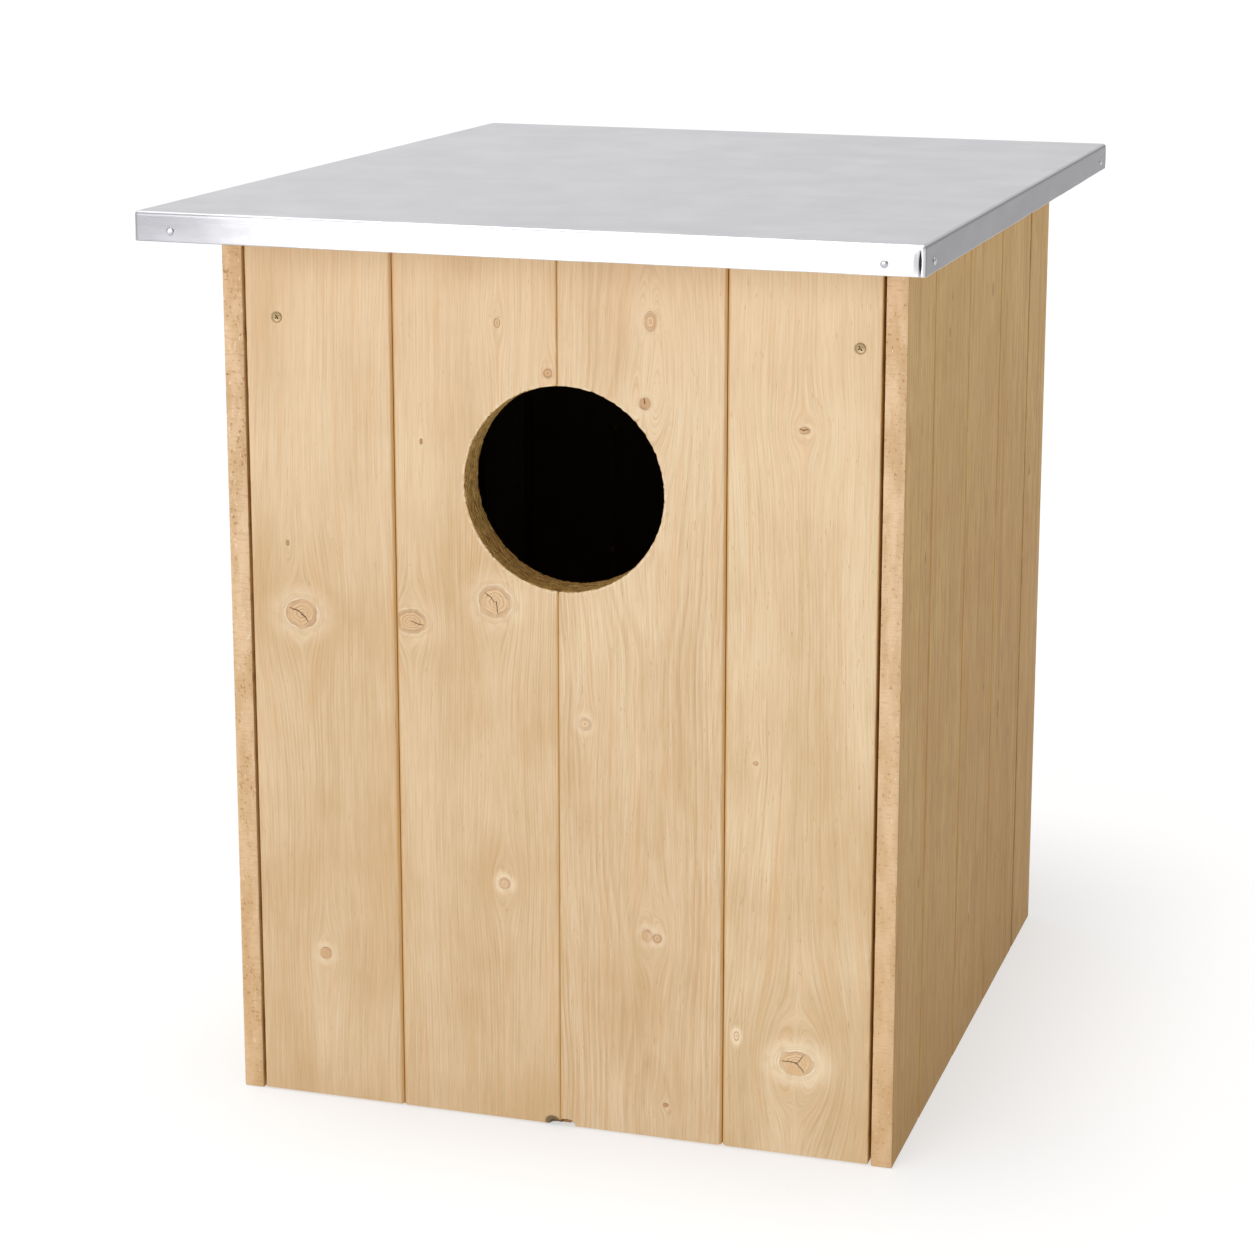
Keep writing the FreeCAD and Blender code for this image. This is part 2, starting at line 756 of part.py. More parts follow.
def make_floor_nails(nail):
    """Nails from below, through the floor boards into the bottom rails. Their heads are sunk."""
    start = FRAME_FRONT
    depth = FRAME_BACK - FRAME_FRONT
    sunk = number("nail_head_height") + FLOOR_NAIL_SUNK
    rail_centre = FRAME_SIDE - BATTEN / 2
    places = [
        pointing((side * rail_centre, start + depth * share, sunk), (0, 0, 1))
        for side in (-1, 1)
        for share in FLOOR_NAIL_SHARES
    ]
    group("floor_nails", nail, places)


def make_cleat_nails(nail):
    """Nails through the cleats into the front boards."""
    back = -HALF_DEPTH + WALL + BATTEN
    cover = number("board_cover")
    bottom = WALL + number("panel_floor_gap") + number("batten_width") / 2
    heights = (bottom, number("cleat_middle_height"), number("cleat_top_height"))
    places = [
        pointing((across * cover, back, height), (0, -1, 0))
        for height in heights
        for across in CLEAT_PITCHES
    ]
    group("front_cleat_nails", nail, places)


def make_deck_screws():
    """Screws up through the front and back top rails into each roof board."""
    diameter = "Sizes.panel_screw_diameter"
    head = "Sizes.panel_screw_head"
    screw = turned_piece("DeckScrew", screw_outline(diameter, head, "Sizes.deck_screw_length"))
    cover = number("board_cover")
    for name, along in (
        ("front", FRAME_FRONT + BATTEN / 2),
        ("back", FRAME_BACK - BATTEN / 2),
    ):
        back_face = {"front": FRAME_FRONT + BATTEN, "back": FRAME_BACK}[name]
        height = value(roof_line(back_face + HALF_DEPTH)) - number("batten_width")
        places = [
            pointing((across * cover, along, height), (0, 0, 1))
            for across in DECK_PITCHES
        ]
        group(f"{name}_deck_screws", screw, places)


def make_sheet_nails():
    """Round-headed nails through the folded edges into the deck, near each corner."""
    outline = nail_outline(
        "Sizes.sheet_nail_diameter",
        "Sizes.sheet_nail_head_diameter",
        "Sizes.sheet_nail_head_height",
        "Sizes.sheet_nail_length",
    )
    nail = turned_piece("SheetNail", outline)
    half = value(SHEET_HALF)
    inset = number("sheet_nail_inset")
    low = -number("roof_front_overhang")
    high = low + value(SHEET_LENGTH)
    height = number("sheet_nail_height")
    places = []
    for side in (-1, 1):
        across = side * (half - inset)
        places.append(pointing((across, low, height), (0, 1, 0)))
        places.append(pointing((across, high, height), (0, -1, 0)))
        for along in (low + inset, high - inset):
            places.append(pointing((side * half, along, height), (-side, 0, 0)))
    group("roof_sheet_nails", nail, [ROOF_FRAME.multiply(place) for place in places])


def make_panel_screws():
    """The two screws that hold the front panel to the posts."""
    diameter = "Sizes.panel_screw_diameter"
    head = "Sizes.panel_screw_head"
    outline = screw_outline(diameter, head, "Sizes.panel_screw_length")
    top = -HALF_DEPTH + number("panel_screw_sunk")
    for label, across in (
        ("front_screw_left", number("panel_screw_left")),
        ("front_screw_right", number("panel_screw_right")),
    ):
        body = new_body(label)
        sketch = new_sketch(body, "HalfOutline", "XZ_Plane")
        draw_polygon(sketch, outline)
        revolve(body, sketch)
        body.Placement = pointing((across, top, number("panel_screw_height")), (0, 1, 0))


def make_dowels():
    """Two dowels in the floor's front edge, which locate the foot of the panel."""
    outline = [
        (0, 0),
        ("Sizes.dowel_diameter / 2", 0),
        ("Sizes.dowel_diameter / 2", "Sizes.dowel_length - Sizes.dowel_chamfer"),
        ("Sizes.dowel_diameter / 2 - Sizes.dowel_chamfer", "Sizes.dowel_length"),
        (0, "Sizes.dowel_length"),
    ]
    dowel = turned_piece("Dowel", outline)
    tip = -HALF_DEPTH + WALL - number("dowel_hole_depth") + number("dowel_end_gap")
    back = tip + number("dowel_length")
    spread = number("dowel_spread")
    forward = Rotation(Vector(1, 0, 0), 90)
    places = [Placement(Vector(side * spread, back, WALL / 2), forward) for side in (-1, 1)]
    group("locating_dowels", dowel, places)


def make_fasteners():
    """Every nail, screw and dowel."""
    outline = nail_outline(
        "Sizes.nail_diameter",
        "Sizes.nail_head_diameter",
        "Sizes.nail_head_height",
        "Sizes.nail_length",
    )
    nail = turned_piece("WireNail", outline)
    make_wall_nails(nail)
    make_post_nails(nail)
    make_floor_nails(nail)
    make_cleat_nails(nail)
    make_deck_screws()
    make_sheet_nails()
    make_panel_screws()
    make_dowels()


# ---------------------------------------------------------------- checks and files


def check_document():
    """Stops if an object failed, or a sub-part has no valid shape."""
    document.recompute()
    for item in document.Objects:
        if "Invalid" in item.State or "Error" in item.State:
            raise RuntimeError(f"{item.Label} failed: {item.State}")
    for part in parts:
        if part.Shape.isNull() or not part.Shape.isValid():
            raise RuntimeError(f"{part.Label} has no valid shape")


def write_parts():
    """One STEP file for each sub-part."""
    os.makedirs("parts", exist_ok=True)
    for part in parts:
        part.Shape.exportStep(f"parts/{part.Label}.step")


make_right_wall()
make_left_wall()
make_back_wall()
make_floor()
make_front_boards()
make_posts()
make_rails()
make_cleats()
make_hole_plate()
make_deck()
make_roof_sheet()
make_fasteners()
check_document()
write_parts()
print(len(parts), "sub-parts")
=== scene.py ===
"""Looks of the owl nest box: planed pine boards with grain and knots, sawn battens, a folded
metal roof, its nails and the front panel's screws. Lengths are in millimetres unless a name or a
comment says metres; MM turns them into metres.
"""
import math
import random
from dataclasses import dataclass, replace

import bmesh
import bpy
from mathutils import Matrix, Vector, noise


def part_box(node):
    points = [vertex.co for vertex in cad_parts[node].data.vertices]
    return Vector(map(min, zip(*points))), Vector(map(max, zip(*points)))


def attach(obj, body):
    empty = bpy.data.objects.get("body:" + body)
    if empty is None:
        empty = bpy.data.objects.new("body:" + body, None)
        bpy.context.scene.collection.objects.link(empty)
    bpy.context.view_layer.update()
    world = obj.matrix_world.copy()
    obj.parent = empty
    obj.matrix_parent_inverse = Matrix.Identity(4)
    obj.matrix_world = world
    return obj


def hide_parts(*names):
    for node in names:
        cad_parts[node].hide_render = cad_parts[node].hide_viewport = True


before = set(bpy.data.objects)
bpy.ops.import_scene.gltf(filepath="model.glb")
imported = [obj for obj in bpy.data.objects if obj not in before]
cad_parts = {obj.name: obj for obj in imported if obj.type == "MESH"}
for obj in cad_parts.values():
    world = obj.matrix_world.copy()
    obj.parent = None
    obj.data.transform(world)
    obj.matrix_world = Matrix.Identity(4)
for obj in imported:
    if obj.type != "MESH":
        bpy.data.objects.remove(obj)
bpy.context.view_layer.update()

MM = 0.001
SQUARE = ((-1, -1), (1, -1), (1, 1), (-1, 1))
scene = bpy.context.scene

# Sizes that the boards share with the CAD model.
TONGUE = 6.0
TONGUE_THICK = 4.0
GROOVE_SLACK = 0.3
VEE = 1.5
BOARD = 14.0
BOARD_COVER = 113.0
ROOF_BOARD = 18.0
ROOF_FALL = 10.0
ENTRANCE_X = 5.5
ENTRANCE_Z = 441.0
ENTRANCE_RADIUS = 68.0
FLOOR_HOLE_RADIUS = 3.5
FLOOR_HOLE_SPREAD = 150.0
SHEET = 0.8
FLANGE = 19.2
SHEET_NAIL_INSET = 25.0
SHEET_NAIL_HEIGHT = 6.5


def box_mm(node):
    """Lowest and highest corner of a CAD node, in millimetres."""
    low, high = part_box(node)
    return low / MM, high / MM


WALL_LOW, WALL_HIGH = box_mm("right_wall_board_1")
FRONT_Y = WALL_LOW.y
BACK_Y = box_mm("right_wall_board_5")[1].y
WALL_TOP = WALL_HIGH.z
SLOPE = ROOF_FALL / (BACK_Y - FRONT_Y)


# ---------------------------------------------------------------- camera, light and floor


def make_camera():
    """The camera stands to the right of the front and looks slightly down."""
    down = 12.93
    turn = 17.32
    data = bpy.data.cameras.new("camera")
    data.lens = 91.6
    data.sensor_width = 36
    data.shift_y = -0.10
    data.clip_end = 100
    camera = bpy.data.objects.new("camera", data)
    camera.location = (0.642, -2.151, 0.894)
    camera.rotation_euler = (math.radians(90 - down), 0, math.radians(turn))
    scene.collection.objects.link(camera)
    scene.camera = camera


def make_sun(name, strength, spread, direction):
    """A soft distant light that shines along a direction. spread is in degrees."""
    data = bpy.data.lights.new(name, "SUN")
    data.energy = strength
    data.angle = math.radians(spread)
    lamp = bpy.data.objects.new(name, data)
    lamp.rotation_euler = Vector(direction).to_track_quat("-Z", "Y").to_euler()
    scene.collection.objects.link(lamp)


def make_world():
    """An even white surround, dimmer on the right-hand side of the box."""
    world = bpy.data.worlds.new("studio")
    scene.world = world
    world.use_nodes = True
    tree = world.node_tree
    background = tree.nodes["Background"]
    place = tree.nodes.new("ShaderNodeTexCoord")
    split = tree.nodes.new("ShaderNodeSeparateXYZ")
    ramp = tree.nodes.new("ShaderNodeMapRange")
    ramp.inputs["From Min"].default_value = -0.6
    ramp.inputs["From Max"].default_value = 0.8
    ramp.inputs["To Min"].default_value = 0.72
    ramp.inputs["To Max"].default_value = 0.38
    tree.links.new(place.outputs["Generated"], split.inputs[0])
    tree.links.new(split.outputs["X"], ramp.inputs["Value"])
    tree.links.new(ramp.outputs[0], background.inputs["Strength"])
    background.inputs["Color"].default_value = (1, 1, 1, 1)


def make_floor():
    """A wide pale floor."""
    mesh = bpy.data.meshes.new("studio_floor")
    half_metres = 60.0
    corners = [(x * half_metres, y * half_metres, 0) for x, y in SQUARE]
    mesh.from_pydata(corners, [], [(0, 1, 2, 3)])
    floor = bpy.data.objects.new("studio_floor", mesh)
    scene.collection.objects.link(floor)
    paper = bpy.data.materials.new("studio_paper")
    paper.use_nodes = True
    shader = paper.node_tree.nodes["Principled BSDF"]
    shader.inputs["Base Color"].default_value = (0.42, 0.42, 0.42, 1)
    shader.inputs["Roughness"].default_value = 0.9
    shader.inputs["Specular IOR Level"].default_value = 0.1
    shader.inputs["Emission Color"].default_value = (1, 1, 1, 1)
    shader.inputs["Emission Strength"].default_value = 0.54
    mesh.materials.append(paper)


def make_studio():
    """Camera, lights and floor."""
    scene.view_settings.view_transform = "Standard"
    make_camera()
    make_world()
    make_sun("key", 1.20, 34, (0.34, 0.92, -0.14))
    make_sun("top", 1.80, 24, (0.05, 0.08, -1.0))
    make_floor()


# ---------------------------------------------------------------- shader helpers


def feed(socket, value):
    """Links a socket to a shader value, or sets it to a number or a colour."""
    if isinstance(value, Value):
        socket.id_data.links.new(value.socket, socket)
    elif isinstance(value, tuple):
        socket.default_value = (*value, 1)
    else:
        socket.default_value = value


class Value:
    """A number in a shader. It adds and multiplies like a plain number, by making nodes."""

    def __init__(self, socket):
        self.socket = socket

    def made_by(self, node, *others):
        """What a new node makes of this value and of others."""
        for place, value in zip(node.inputs, (self, *others)):
            feed(place, value)
        return Value(node.outputs[0])

    def calc(self, operation, *others):
        """One arithmetic step."""
        node = self.socket.id_data.nodes.new("ShaderNodeMath")
        node.operation = operation
        return self.made_by(node, *others)

    def __add__(self, other):
        return self.calc("ADD", other)

    def __sub__(self, other):
        return self.calc("SUBTRACT", other)

    def __mul__(self, other):
        return self.calc("MULTIPLY", other)

    def __truediv__(self, other):
        return self.calc("DIVIDE", other)

    def ramp(self, low, high, out_low=0.0, out_high=1.0):
        """A smooth step from low to high."""
        node = self.socket.id_data.nodes.new("ShaderNodeMapRange")
        node.interpolation_type = "SMOOTHSTEP"
        return self.made_by(node, low, high, out_low, out_high)


class Surface:
    """A material in the making. across, deep and along are a surface point's place in the piece's
    own frame, in millimetres; color and height are built up coat by coat."""

    def __init__(self, name, seed=0.0):
        self.material = bpy.data.materials.new(name)
        self.material.use_nodes = True
        self.nodes = self.material.node_tree.nodes
        self.inputs = self.nodes["Principled BSDF"].inputs
        self.seed = seed
        self.color = None
        self.height = None
        scaled = self.nodes.new("ShaderNodeVectorMath")
        scaled.operation = "SCALE"
        scaled.inputs["Scale"].default_value = 1 / MM
        place = self.coordinate("Object").made_by(scaled)
        self.across, self.deep, self.along = self.parts(place)

    def coordinate(self, kind):
        """One of Blender's texture coordinates."""
        return Value(self.nodes.new("ShaderNodeTexCoord").outputs[kind])

    def parts(self, vector):
        """The X, Y and Z of a vector."""
        node = self.nodes.new("ShaderNodeSeparateXYZ")
        feed(node.inputs[0], vector)
        return [Value(output) for output in node.outputs]

    def noise(self, x, y, z, detail=2.0, rough=0.5):
        """Soft noise from 0 to 1."""
        point = self.nodes.new("ShaderNodeCombineXYZ")
        for place, value in zip(point.inputs, (x, y, z)):
            feed(place, value)
        node = self.nodes.new("ShaderNodeTexNoise")
        node.inputs["Scale"].default_value = 1.0
        node.inputs["Detail"].default_value = detail
        node.inputs["Roughness"].default_value = rough
        feed(node.inputs["Vector"], Value(point.outputs[0]))
        return Value(node.outputs["Fac"])

    def mix(self, factor, first, second, blend="MIX"):
        """Blends two colours."""
        node = self.nodes.new("ShaderNodeMix")
        node.data_type = "RGBA"
        node.blend_type = blend
        for place, value in ((0, factor), (6, first), (7, second)):
            feed(node.inputs[place], value)
        return Value(node.outputs[2])

    def paint(self, factor, color, blend="MIX"):
        """Lays one more coat of colour over the others."""
        self.color = self.mix(factor, self.color, color, blend)

    def finish(self, rough, depth):
        """Gives the shader its colour, roughness and a bump depth millimetres deep."""
        bump = self.nodes.new("ShaderNodeBump")
        bump.inputs["Strength"].default_value = 1.0
        bump.inputs["Distance"].default_value = depth * MM
        feed(bump.inputs["Height"], self.height)
        feed(self.inputs["Normal"], Value(bump.outputs[0]))
        feed(self.inputs["Base Color"], self.color)
        feed(self.inputs["Roughness"], rough)
        return self.material


def distance(side, other):
    """How far a point lies from a middle, given how far it lies each way."""
    return (side * side + other * other).calc("SQRT")


def thin_line(value, width):
    """1 where a value is near zero, falling to 0 at the line's width."""
    return value.calc("ABSOLUTE").ramp(width * 0.25, width, 1.0, 0.0)


# ---------------------------------------------------------------- pine

# Colours are linear.
BLACK = (0.0, 0.0, 0.0)
WHITE = (1.0, 1.0, 1.0)
PALE = (0.790, 0.610, 0.395)
HONEY = (0.650, 0.440, 0.235)
LATE = (0.500, 0.290, 0.115)
AMBER = (0.740, 0.460, 0.240)
GROOVE = (0.620, 0.360, 0.125)
# Painted shade deep in the gaps of tongue-and-groove joints.
GROOVE_SHADE = (0.200, 0.080, 0.018)
KNOT_PINK = (0.680, 0.385, 0.150)
KNOT_BROWN = (0.320, 0.130, 0.042)
KNOT_LINE = (0.300, 0.110, 0.030)
CRACK = (0.110, 0.035, 0.008)
# Pale wood: halos round knots, pale fibres and bruises, and the painted light at the tops of
# boards.
HALO_AND_LIGHT = (0.860, 0.710, 0.510)
SAWN_PALE = (0.760, 0.540, 0.335)
SAWN_DARK = (0.630, 0.415, 0.225)
SAWN_DOT = (0.360, 0.150, 0.045)
CUT_DARK = (0.330, 0.155, 0.028)
CUT_PALE = (1.000, 0.660, 0.230)
CUT_SHADOW = (0.120, 0.070, 0.020)
# Painted shade on the inside of the box.
INSIDE_SHADE = (0.075, 0.045, 0.025)
# Painted shade on the ends of boards of another thickness.
END_SHADE = (0.012, 0.009, 0.007)
# Painted shade in the nicks at the boards' feet.
NICK_SHADE = (0.120, 0.080, 0.032)

# Tints that a board's colour is multiplied by.
FRONT_TINT = (0.97, 0.96, 0.95)
# This tint darkens and warms wood as painted shade.
SIDE_SHADE_TINT = (0.87, 0.76, 0.44)
PLAIN_TINT = (0.90, 0.84, 0.66)


@dataclass
class Knot:
    """A knot on a board's face. across and along say where, in the board's own frame; radius is
    its own size, flow how far the grain swerves round it, tone from 0 (healthy, pinkish) to 1
    (dark brown), cracks the directions of its cracks in degrees, halo how pale the wood round it
    is and tall how much longer than wide it is."""

    across: float
    along: float
    radius: float
    flow: float
    tone: float = 0.4
    cracks: tuple = ()
    halo: float = 0.5
    tall: float = 1.0


@dataclass
class Look:
    """How one board's wood looks. pith is where the log's middle lies in the board's section,
    spacing is between growth rings, drift how far the grain wanders, warm shifts its tone from
    pale (0) to honey (1), contrast is that of its rings, tint multiplies its colour, and the last
    field is a spot of painted shade in a nick, given as (across, along, radius)."""

    seed: float
    pith: tuple
    spacing: float
    drift: float
    warm: float
    contrast: float
    knots: list
    tint: tuple = WHITE
    rot: tuple = None


def swerve(s, knot):
    """How far the grain is pushed sideways near a knot, as water round a stone."""
    reach = 2.4
    side = s.across - knot.across
    up = (s.along - knot.along) / (reach * knot.tall)
    strength = knot.flow * knot.flow
    return side / (side * side + up * up + 0.55 * strength) * strength


def paint_knot(s, knot, wobble):
    """One knot: its halo, its core with rings and a dark rim, and its cracks."""
    side = s.across - knot.across
    up = (s.along - knot.along) / knot.tall
    away = distance(side, up) / knot.radius + (wobble - 0.5) * 0.5

    halo = away.ramp(0.9, 3.0, 1.0, 0.0) * wobble.ramp(0.3, 0.6, 0.4, 1.0)
    s.paint(halo * knot.halo, HALO_AND_LIGHT)
    inner = s.mix(away.ramp(0.0, 1.0, knot.tone, knot.tone * 0.75), KNOT_PINK, KNOT_BROWN)
    s.paint(away.ramp(0.90, 1.03, 1.0, 0.0) * (0.28 + 0.65 * knot.tone), inner)

    ring_count = 1.0 + 0.30 * knot.radius
    rings = thin_line((away * ring_count).calc("FRACT") - 0.5, 0.26)
    rings = rings * away.ramp(1.2, 1.5, 1.0, 0.0)
    s.paint(rings * wobble.ramp(0.35, 0.6, 0.10, 0.42), KNOT_LINE)
    rim = thin_line(away - 1.0, 0.40 / math.sqrt(knot.radius))
    s.paint(rim * wobble.ramp(0.4, 0.55, 0.15, 0.35 + 0.5 * knot.tone), KNOT_LINE)
    s.paint(thin_line(away - 1.5, 0.12) * 0.18, LATE)
    s.height = s.height - rim * 0.9

    for degrees in knot.cracks:
        cos = math.cos(math.radians(degrees))
        sin = math.sin(math.radians(degrees))
        forward = side * cos + up * sin
        sideways = up * cos - side * sin + (wobble - 0.5) * 6.0
        crack = thin_line(sideways, 0.55) * forward.ramp(-0.5, 0.3)
        crack = crack * away.ramp(0.7, 1.0, 1.0, 0.0)
        s.paint(crack * 0.85, CRACK)
        s.height = s.height - crack * 3.0


def paint_nick_shade(s, across, along, radius, wobble):
    """Painted shade in a nick: a dark spot with a ragged edge."""
    away = distance(s.across - across, s.along - along) / radius + (wobble - 0.5) * 0.6
    s.paint(away.ramp(0.80, 1.05, 0.90, 0.0), NICK_SHADE)


def paint_sawn(s, edge, sign):
    """Saw marks, brown dots and pale specks on a ripped edge. sign points into the board."""
    marks = s.noise(s.deep * 0.12, s.seed, s.along * 0.85, 2.0, 0.7)
    blotch = s.noise(s.deep * 0.1, s.seed + 3.0, s.along * 0.03, 3.0)
    dots = s.noise(s.deep * 0.55, s.seed + 9.0, s.along * 0.42, 1.0)
    specks = s.noise(s.deep * 0.6, s.seed + 5.0, s.along * 0.22, 1.0)
    brown = dots.ramp(0.62, 0.70) * blotch.ramp(0.40, 0.58, 0.15, 1.0)
    wood = s.mix(blotch.ramp(0.35, 0.65), SAWN_PALE, SAWN_DARK)
    wood = s.mix(marks.ramp(0.50, 0.70, 0.0, 0.40), wood, LATE)
    wood = s.mix(brown * 0.75, wood, SAWN_DOT)
    wood = s.mix(specks.ramp(0.68, 0.74, 0.0, 0.7), wood, HALO_AND_LIGHT)
    wood = s.mix(s.along.ramp(0.0, 480.0, 0.42, 0.0), wood, LATE)
    mask = ((s.across - edge) * sign).ramp(0.35, 0.6, 1.0, 0.0)
    s.paint(mask, wood)
    s.height = s.height + mask * (marks * 2.5)


def paint_cut(s, across, along):
    """The wall of the entrance hole, torn into dull brown strands that follow its rim, and the
    pale bruised fibres on the face beside it."""
    side = s.across - across
    up = s.along - along
    away = distance(side, up)
    arc = up.calc("ARCTAN2", side) * ENTRANCE_RADIUS
    bruise = s.noise(arc * 0.30, away * 0.5, 2.0)
    beside = away.ramp(ENTRANCE_RADIUS + 0.6, ENTRANCE_RADIUS + 2.6, 0.55, 0.0)
    s.paint(beside * bruise.ramp(0.48, 0.6), HALO_AND_LIGHT)

    strands = s.noise(arc * 0.12, s.deep * 0.9, 1.0, 4.0, 0.75)
    fine = s.noise(arc * 0.5, s.deep * 2.6, 4.0, 2.0, 0.7)
    wood = s.mix(strands.ramp(0.42, 0.56), CUT_DARK, CUT_PALE)
    wood = s.mix(fine.ramp(0.50, 0.64, 0.0, 0.75), wood, CUT_SHADOW)
    mask = away.ramp(ENTRANCE_RADIUS + 1.0, ENTRANCE_RADIUS + 1.4, 1.0, 0.0)
    mask = mask * s.deep.ramp(0.15, 0.7)
    s.paint(mask, wood)
    s.height = s.height + mask * (strands * 6.0)


def paint_joints(s, shape):
    """Tongue-and-groove joints that have gone warm, with painted shade deep in their gaps, and a
    plain edge's warm arris.
    """
    stain_and_shade = s.noise(s.seed, s.across * 0.3, s.along * 0.035, 3.0)
    finish = shape.finish
    sides = (
        (shape.groove, s.across, finish.vees[0], finish.dark[0]),
        (shape.tongue, (s.across - shape.width) * -1.0, finish.vees[1], finish.dark[1]),
    )
    for jointed, inside, vee, dark in sides:
        if jointed:
            near = inside.ramp(vee * 0.6, vee + 0.7, 0.9, 0.0)
            s.paint(near * stain_and_shade.ramp(0.3, 0.65, 0.65, 1.0), GROOVE)
            # Painted shade deep in the joint's gap.
            s.paint(inside.ramp(vee * dark, vee * (dark + 0.35), 0.75, 0.0), GROOVE_SHADE)
        else:
            s.paint(inside.ramp(0.2, 0.9, 0.8, 0.0), GROOVE)


def grain_flow(s, look):
    """The sideways place of the grain, which wanders along the board and swerves round knots,
    and the slow part of its wandering."""
    slow = s.noise(s.seed, s.across * 0.004, s.along * 0.0035, 1.5)
    ripple = s.noise(s.across * 0.03, s.seed, s.along * 0.008)
    flow = s.across + (slow - 0.5) * look.drift + (ripple - 0.5) * 1.8
    for knot in look.knots:
        flow = flow - swerve(s, knot)
    return flow, slow


def growth_bands(s, flow, slow, look):
    """Growth rings: pale early wood, then a darker band with a sharp outer edge. They fade in
    and out over a board."""
    back = s.deep - look.pith[1] + (slow - 0.5) * (look.drift * 2.0)
    rings = distance(flow - look.pith[0], back) / look.spacing
    step = rings.calc("FRACT")
    strength = s.noise(rings.calc("FLOOR") * 0.73, s.seed, s.along * 0.006, 1.0)
    patch = s.noise(s.across * 0.016, s.seed + 8.0, s.along * 0.006)
    band = step.ramp(0.15, 0.80) * step.ramp(0.86, 1.0, 1.0, 0.0)
    band = band * strength.ramp(0.35, 0.68, 0.05, 1.0)
    return band * patch.ramp(0.36, 0.60, 0.25, 1.0)


def paint_wood(s, flow, band, look):
    """The plain wood: broad tones, growth rings, fibres and dark dashes. Gives back the fibres."""
    broad = s.noise(flow * 0.030, s.seed, s.along * 0.0034, 2.5)
    cloud = s.noise(s.across * 0.014, s.along * 0.010, s.seed, 3.0)
    fibre = s.noise(flow * 0.85, s.deep * 0.85, s.along * 0.012, 3.0, 0.7)
    hair = s.noise(flow * 1.9, s.deep * 1.9, s.along * 0.030, 2.0, 0.8)
    mottle = s.noise(flow * 0.25, s.seed, s.along * 0.030, 3.0, 0.6)
    dash = s.noise(flow, s.seed, s.along * 0.13, 1.0)
    streak = s.noise(flow * 0.22, s.seed + 2.0, s.along * 0.0045)

    tone = (broad - 0.5) * 1.3 + look.warm + (cloud - 0.5) * 1.7 + (mottle - 0.5) * 0.6
    # Paler towards the board's top and darker, more honey, towards its foot: painted light and
    # shade.
    tone = tone + s.along.ramp(0.0, 600.0, 0.30, -0.16)
    s.color = s.mix(tone.ramp(-0.1, 1.1), PALE, HONEY)
    s.paint(streak.ramp(0.56, 0.68, 0.0, 0.40), AMBER)
    extra = max(0.0, 0.55 * (look.contrast - 1.1))
    s.paint(streak.ramp(0.34, 0.46, extra, 0.0), LATE)
    s.paint(mottle.ramp(0.36, 0.48, extra, 0.0), LATE)
    s.paint(band * min(0.6, 0.42 * look.contrast), LATE)
    s.paint(fibre.ramp(0.38, 0.52, 0.22 * look.contrast, 0.0), LATE)
    s.paint(fibre.ramp(0.54, 0.68, 0.0, 0.25), HALO_AND_LIGHT)
    s.paint(hair.ramp(0.38, 0.52, 0.30 * look.contrast, 0.0), LATE)
    s.paint(dash.ramp(0.71, 0.77, 0.0, 0.55), LATE)
    # Painted shade at the board's foot and painted light at its top.
    s.paint(s.along.ramp(0.0, 480.0, 0.10, 0.0), BLACK)
    s.paint(s.along.ramp(380.0, 600.0, 0.0, 0.20), HALO_AND_LIGHT)
    s.height = band * 0.5 + fibre * 1.4
    return fibre


def pine(name, look, shape, sawn=None, entrance=None):
    """Planed pine for one board. sawn is the edge that is fresh from the saw, and entrance the
    middle of the hole cut through it. The side that faces the nest is painted dark as shade,
    and the ends of boards of another thickness are painted near-black as shade."""
    s = Surface(name, look.seed * 37.0)
    flow, slow = grain_flow(s, look)
    band = growth_bands(s, flow, slow, look)
    fibre = paint_wood(s, flow, band, look)
    wobble = s.noise(s.across * 0.14, s.along * 0.11, s.seed)
    for knot in look.knots:
        paint_knot(s, knot, wobble)
    paint_joints(s, shape)
    s.paint(1.0, look.tint, "MULTIPLY")
    # A spot of painted shade in a nick at the board's foot.
    if look.rot is not None:
        paint_nick_shade(s, *look.rot, wobble)
    if sawn is not None:
        paint_sawn(s, *sawn)
    if entrance is not None:
        paint_cut(s, *entrance)
    if shape.thickness == BOARD:
        # The side facing the nest is painted dark as shade, except within a board's thickness of a
        # sawn edge.
        stain_and_shade = s.deep.ramp(BOARD - 0.9, BOARD - 0.4, 0.0, 0.93)
        if sawn is not None:
            edge, sign = sawn
            stain_and_shade = stain_and_shade * ((s.across - edge) * sign).ramp(BOARD, BOARD + 3.0)
        s.paint(stain_and_shade, INSIDE_SHADE)
    else:
        # The ends of boards of another thickness are painted near-black as shade.
        near_end = s.along.calc("MINIMUM", (s.along - shape.length) * -1.0)
        s.paint(near_end.ramp(0.6, 1.6, 0.97, 0.0), END_SHADE)
    s.inputs["Specular IOR Level"].default_value = 0.3
    return s.finish(fibre.ramp(0.3, 0.7, 0.55, 0.70), 0.14)


def random_look(rng, seed, width, length, knots, tint):
    """A board with grain and knots at random."""
    found = []
    for _ in range(knots):
        radius = rng.uniform(2.5, 9)
        across = rng.uniform(0.15, 0.85) * width
        along = rng.uniform(0.06, 0.94) * length
        tone = rng.uniform(0.1, 0.8)
        cracks = (rng.uniform(0, 180), rng.uniform(180, 360)) if radius > 6 else ()
        tall = rng.uniform(0.8, 1.2)
        found.append(Knot(across, along, radius, radius * 1.7, tone, cracks, 0.5, tall))
    pith = (rng.choice((-1, 1)) * rng.uniform(50, 110) + width / 2, rng.uniform(20, 60))
    warm = rng.uniform(0.35, 0.6)
    return Look(seed, pith, rng.uniform(2.0, 3.2), rng.uniform(8, 20), warm, 0.9, found, tint)


# ---------------------------------------------------------------- meshes


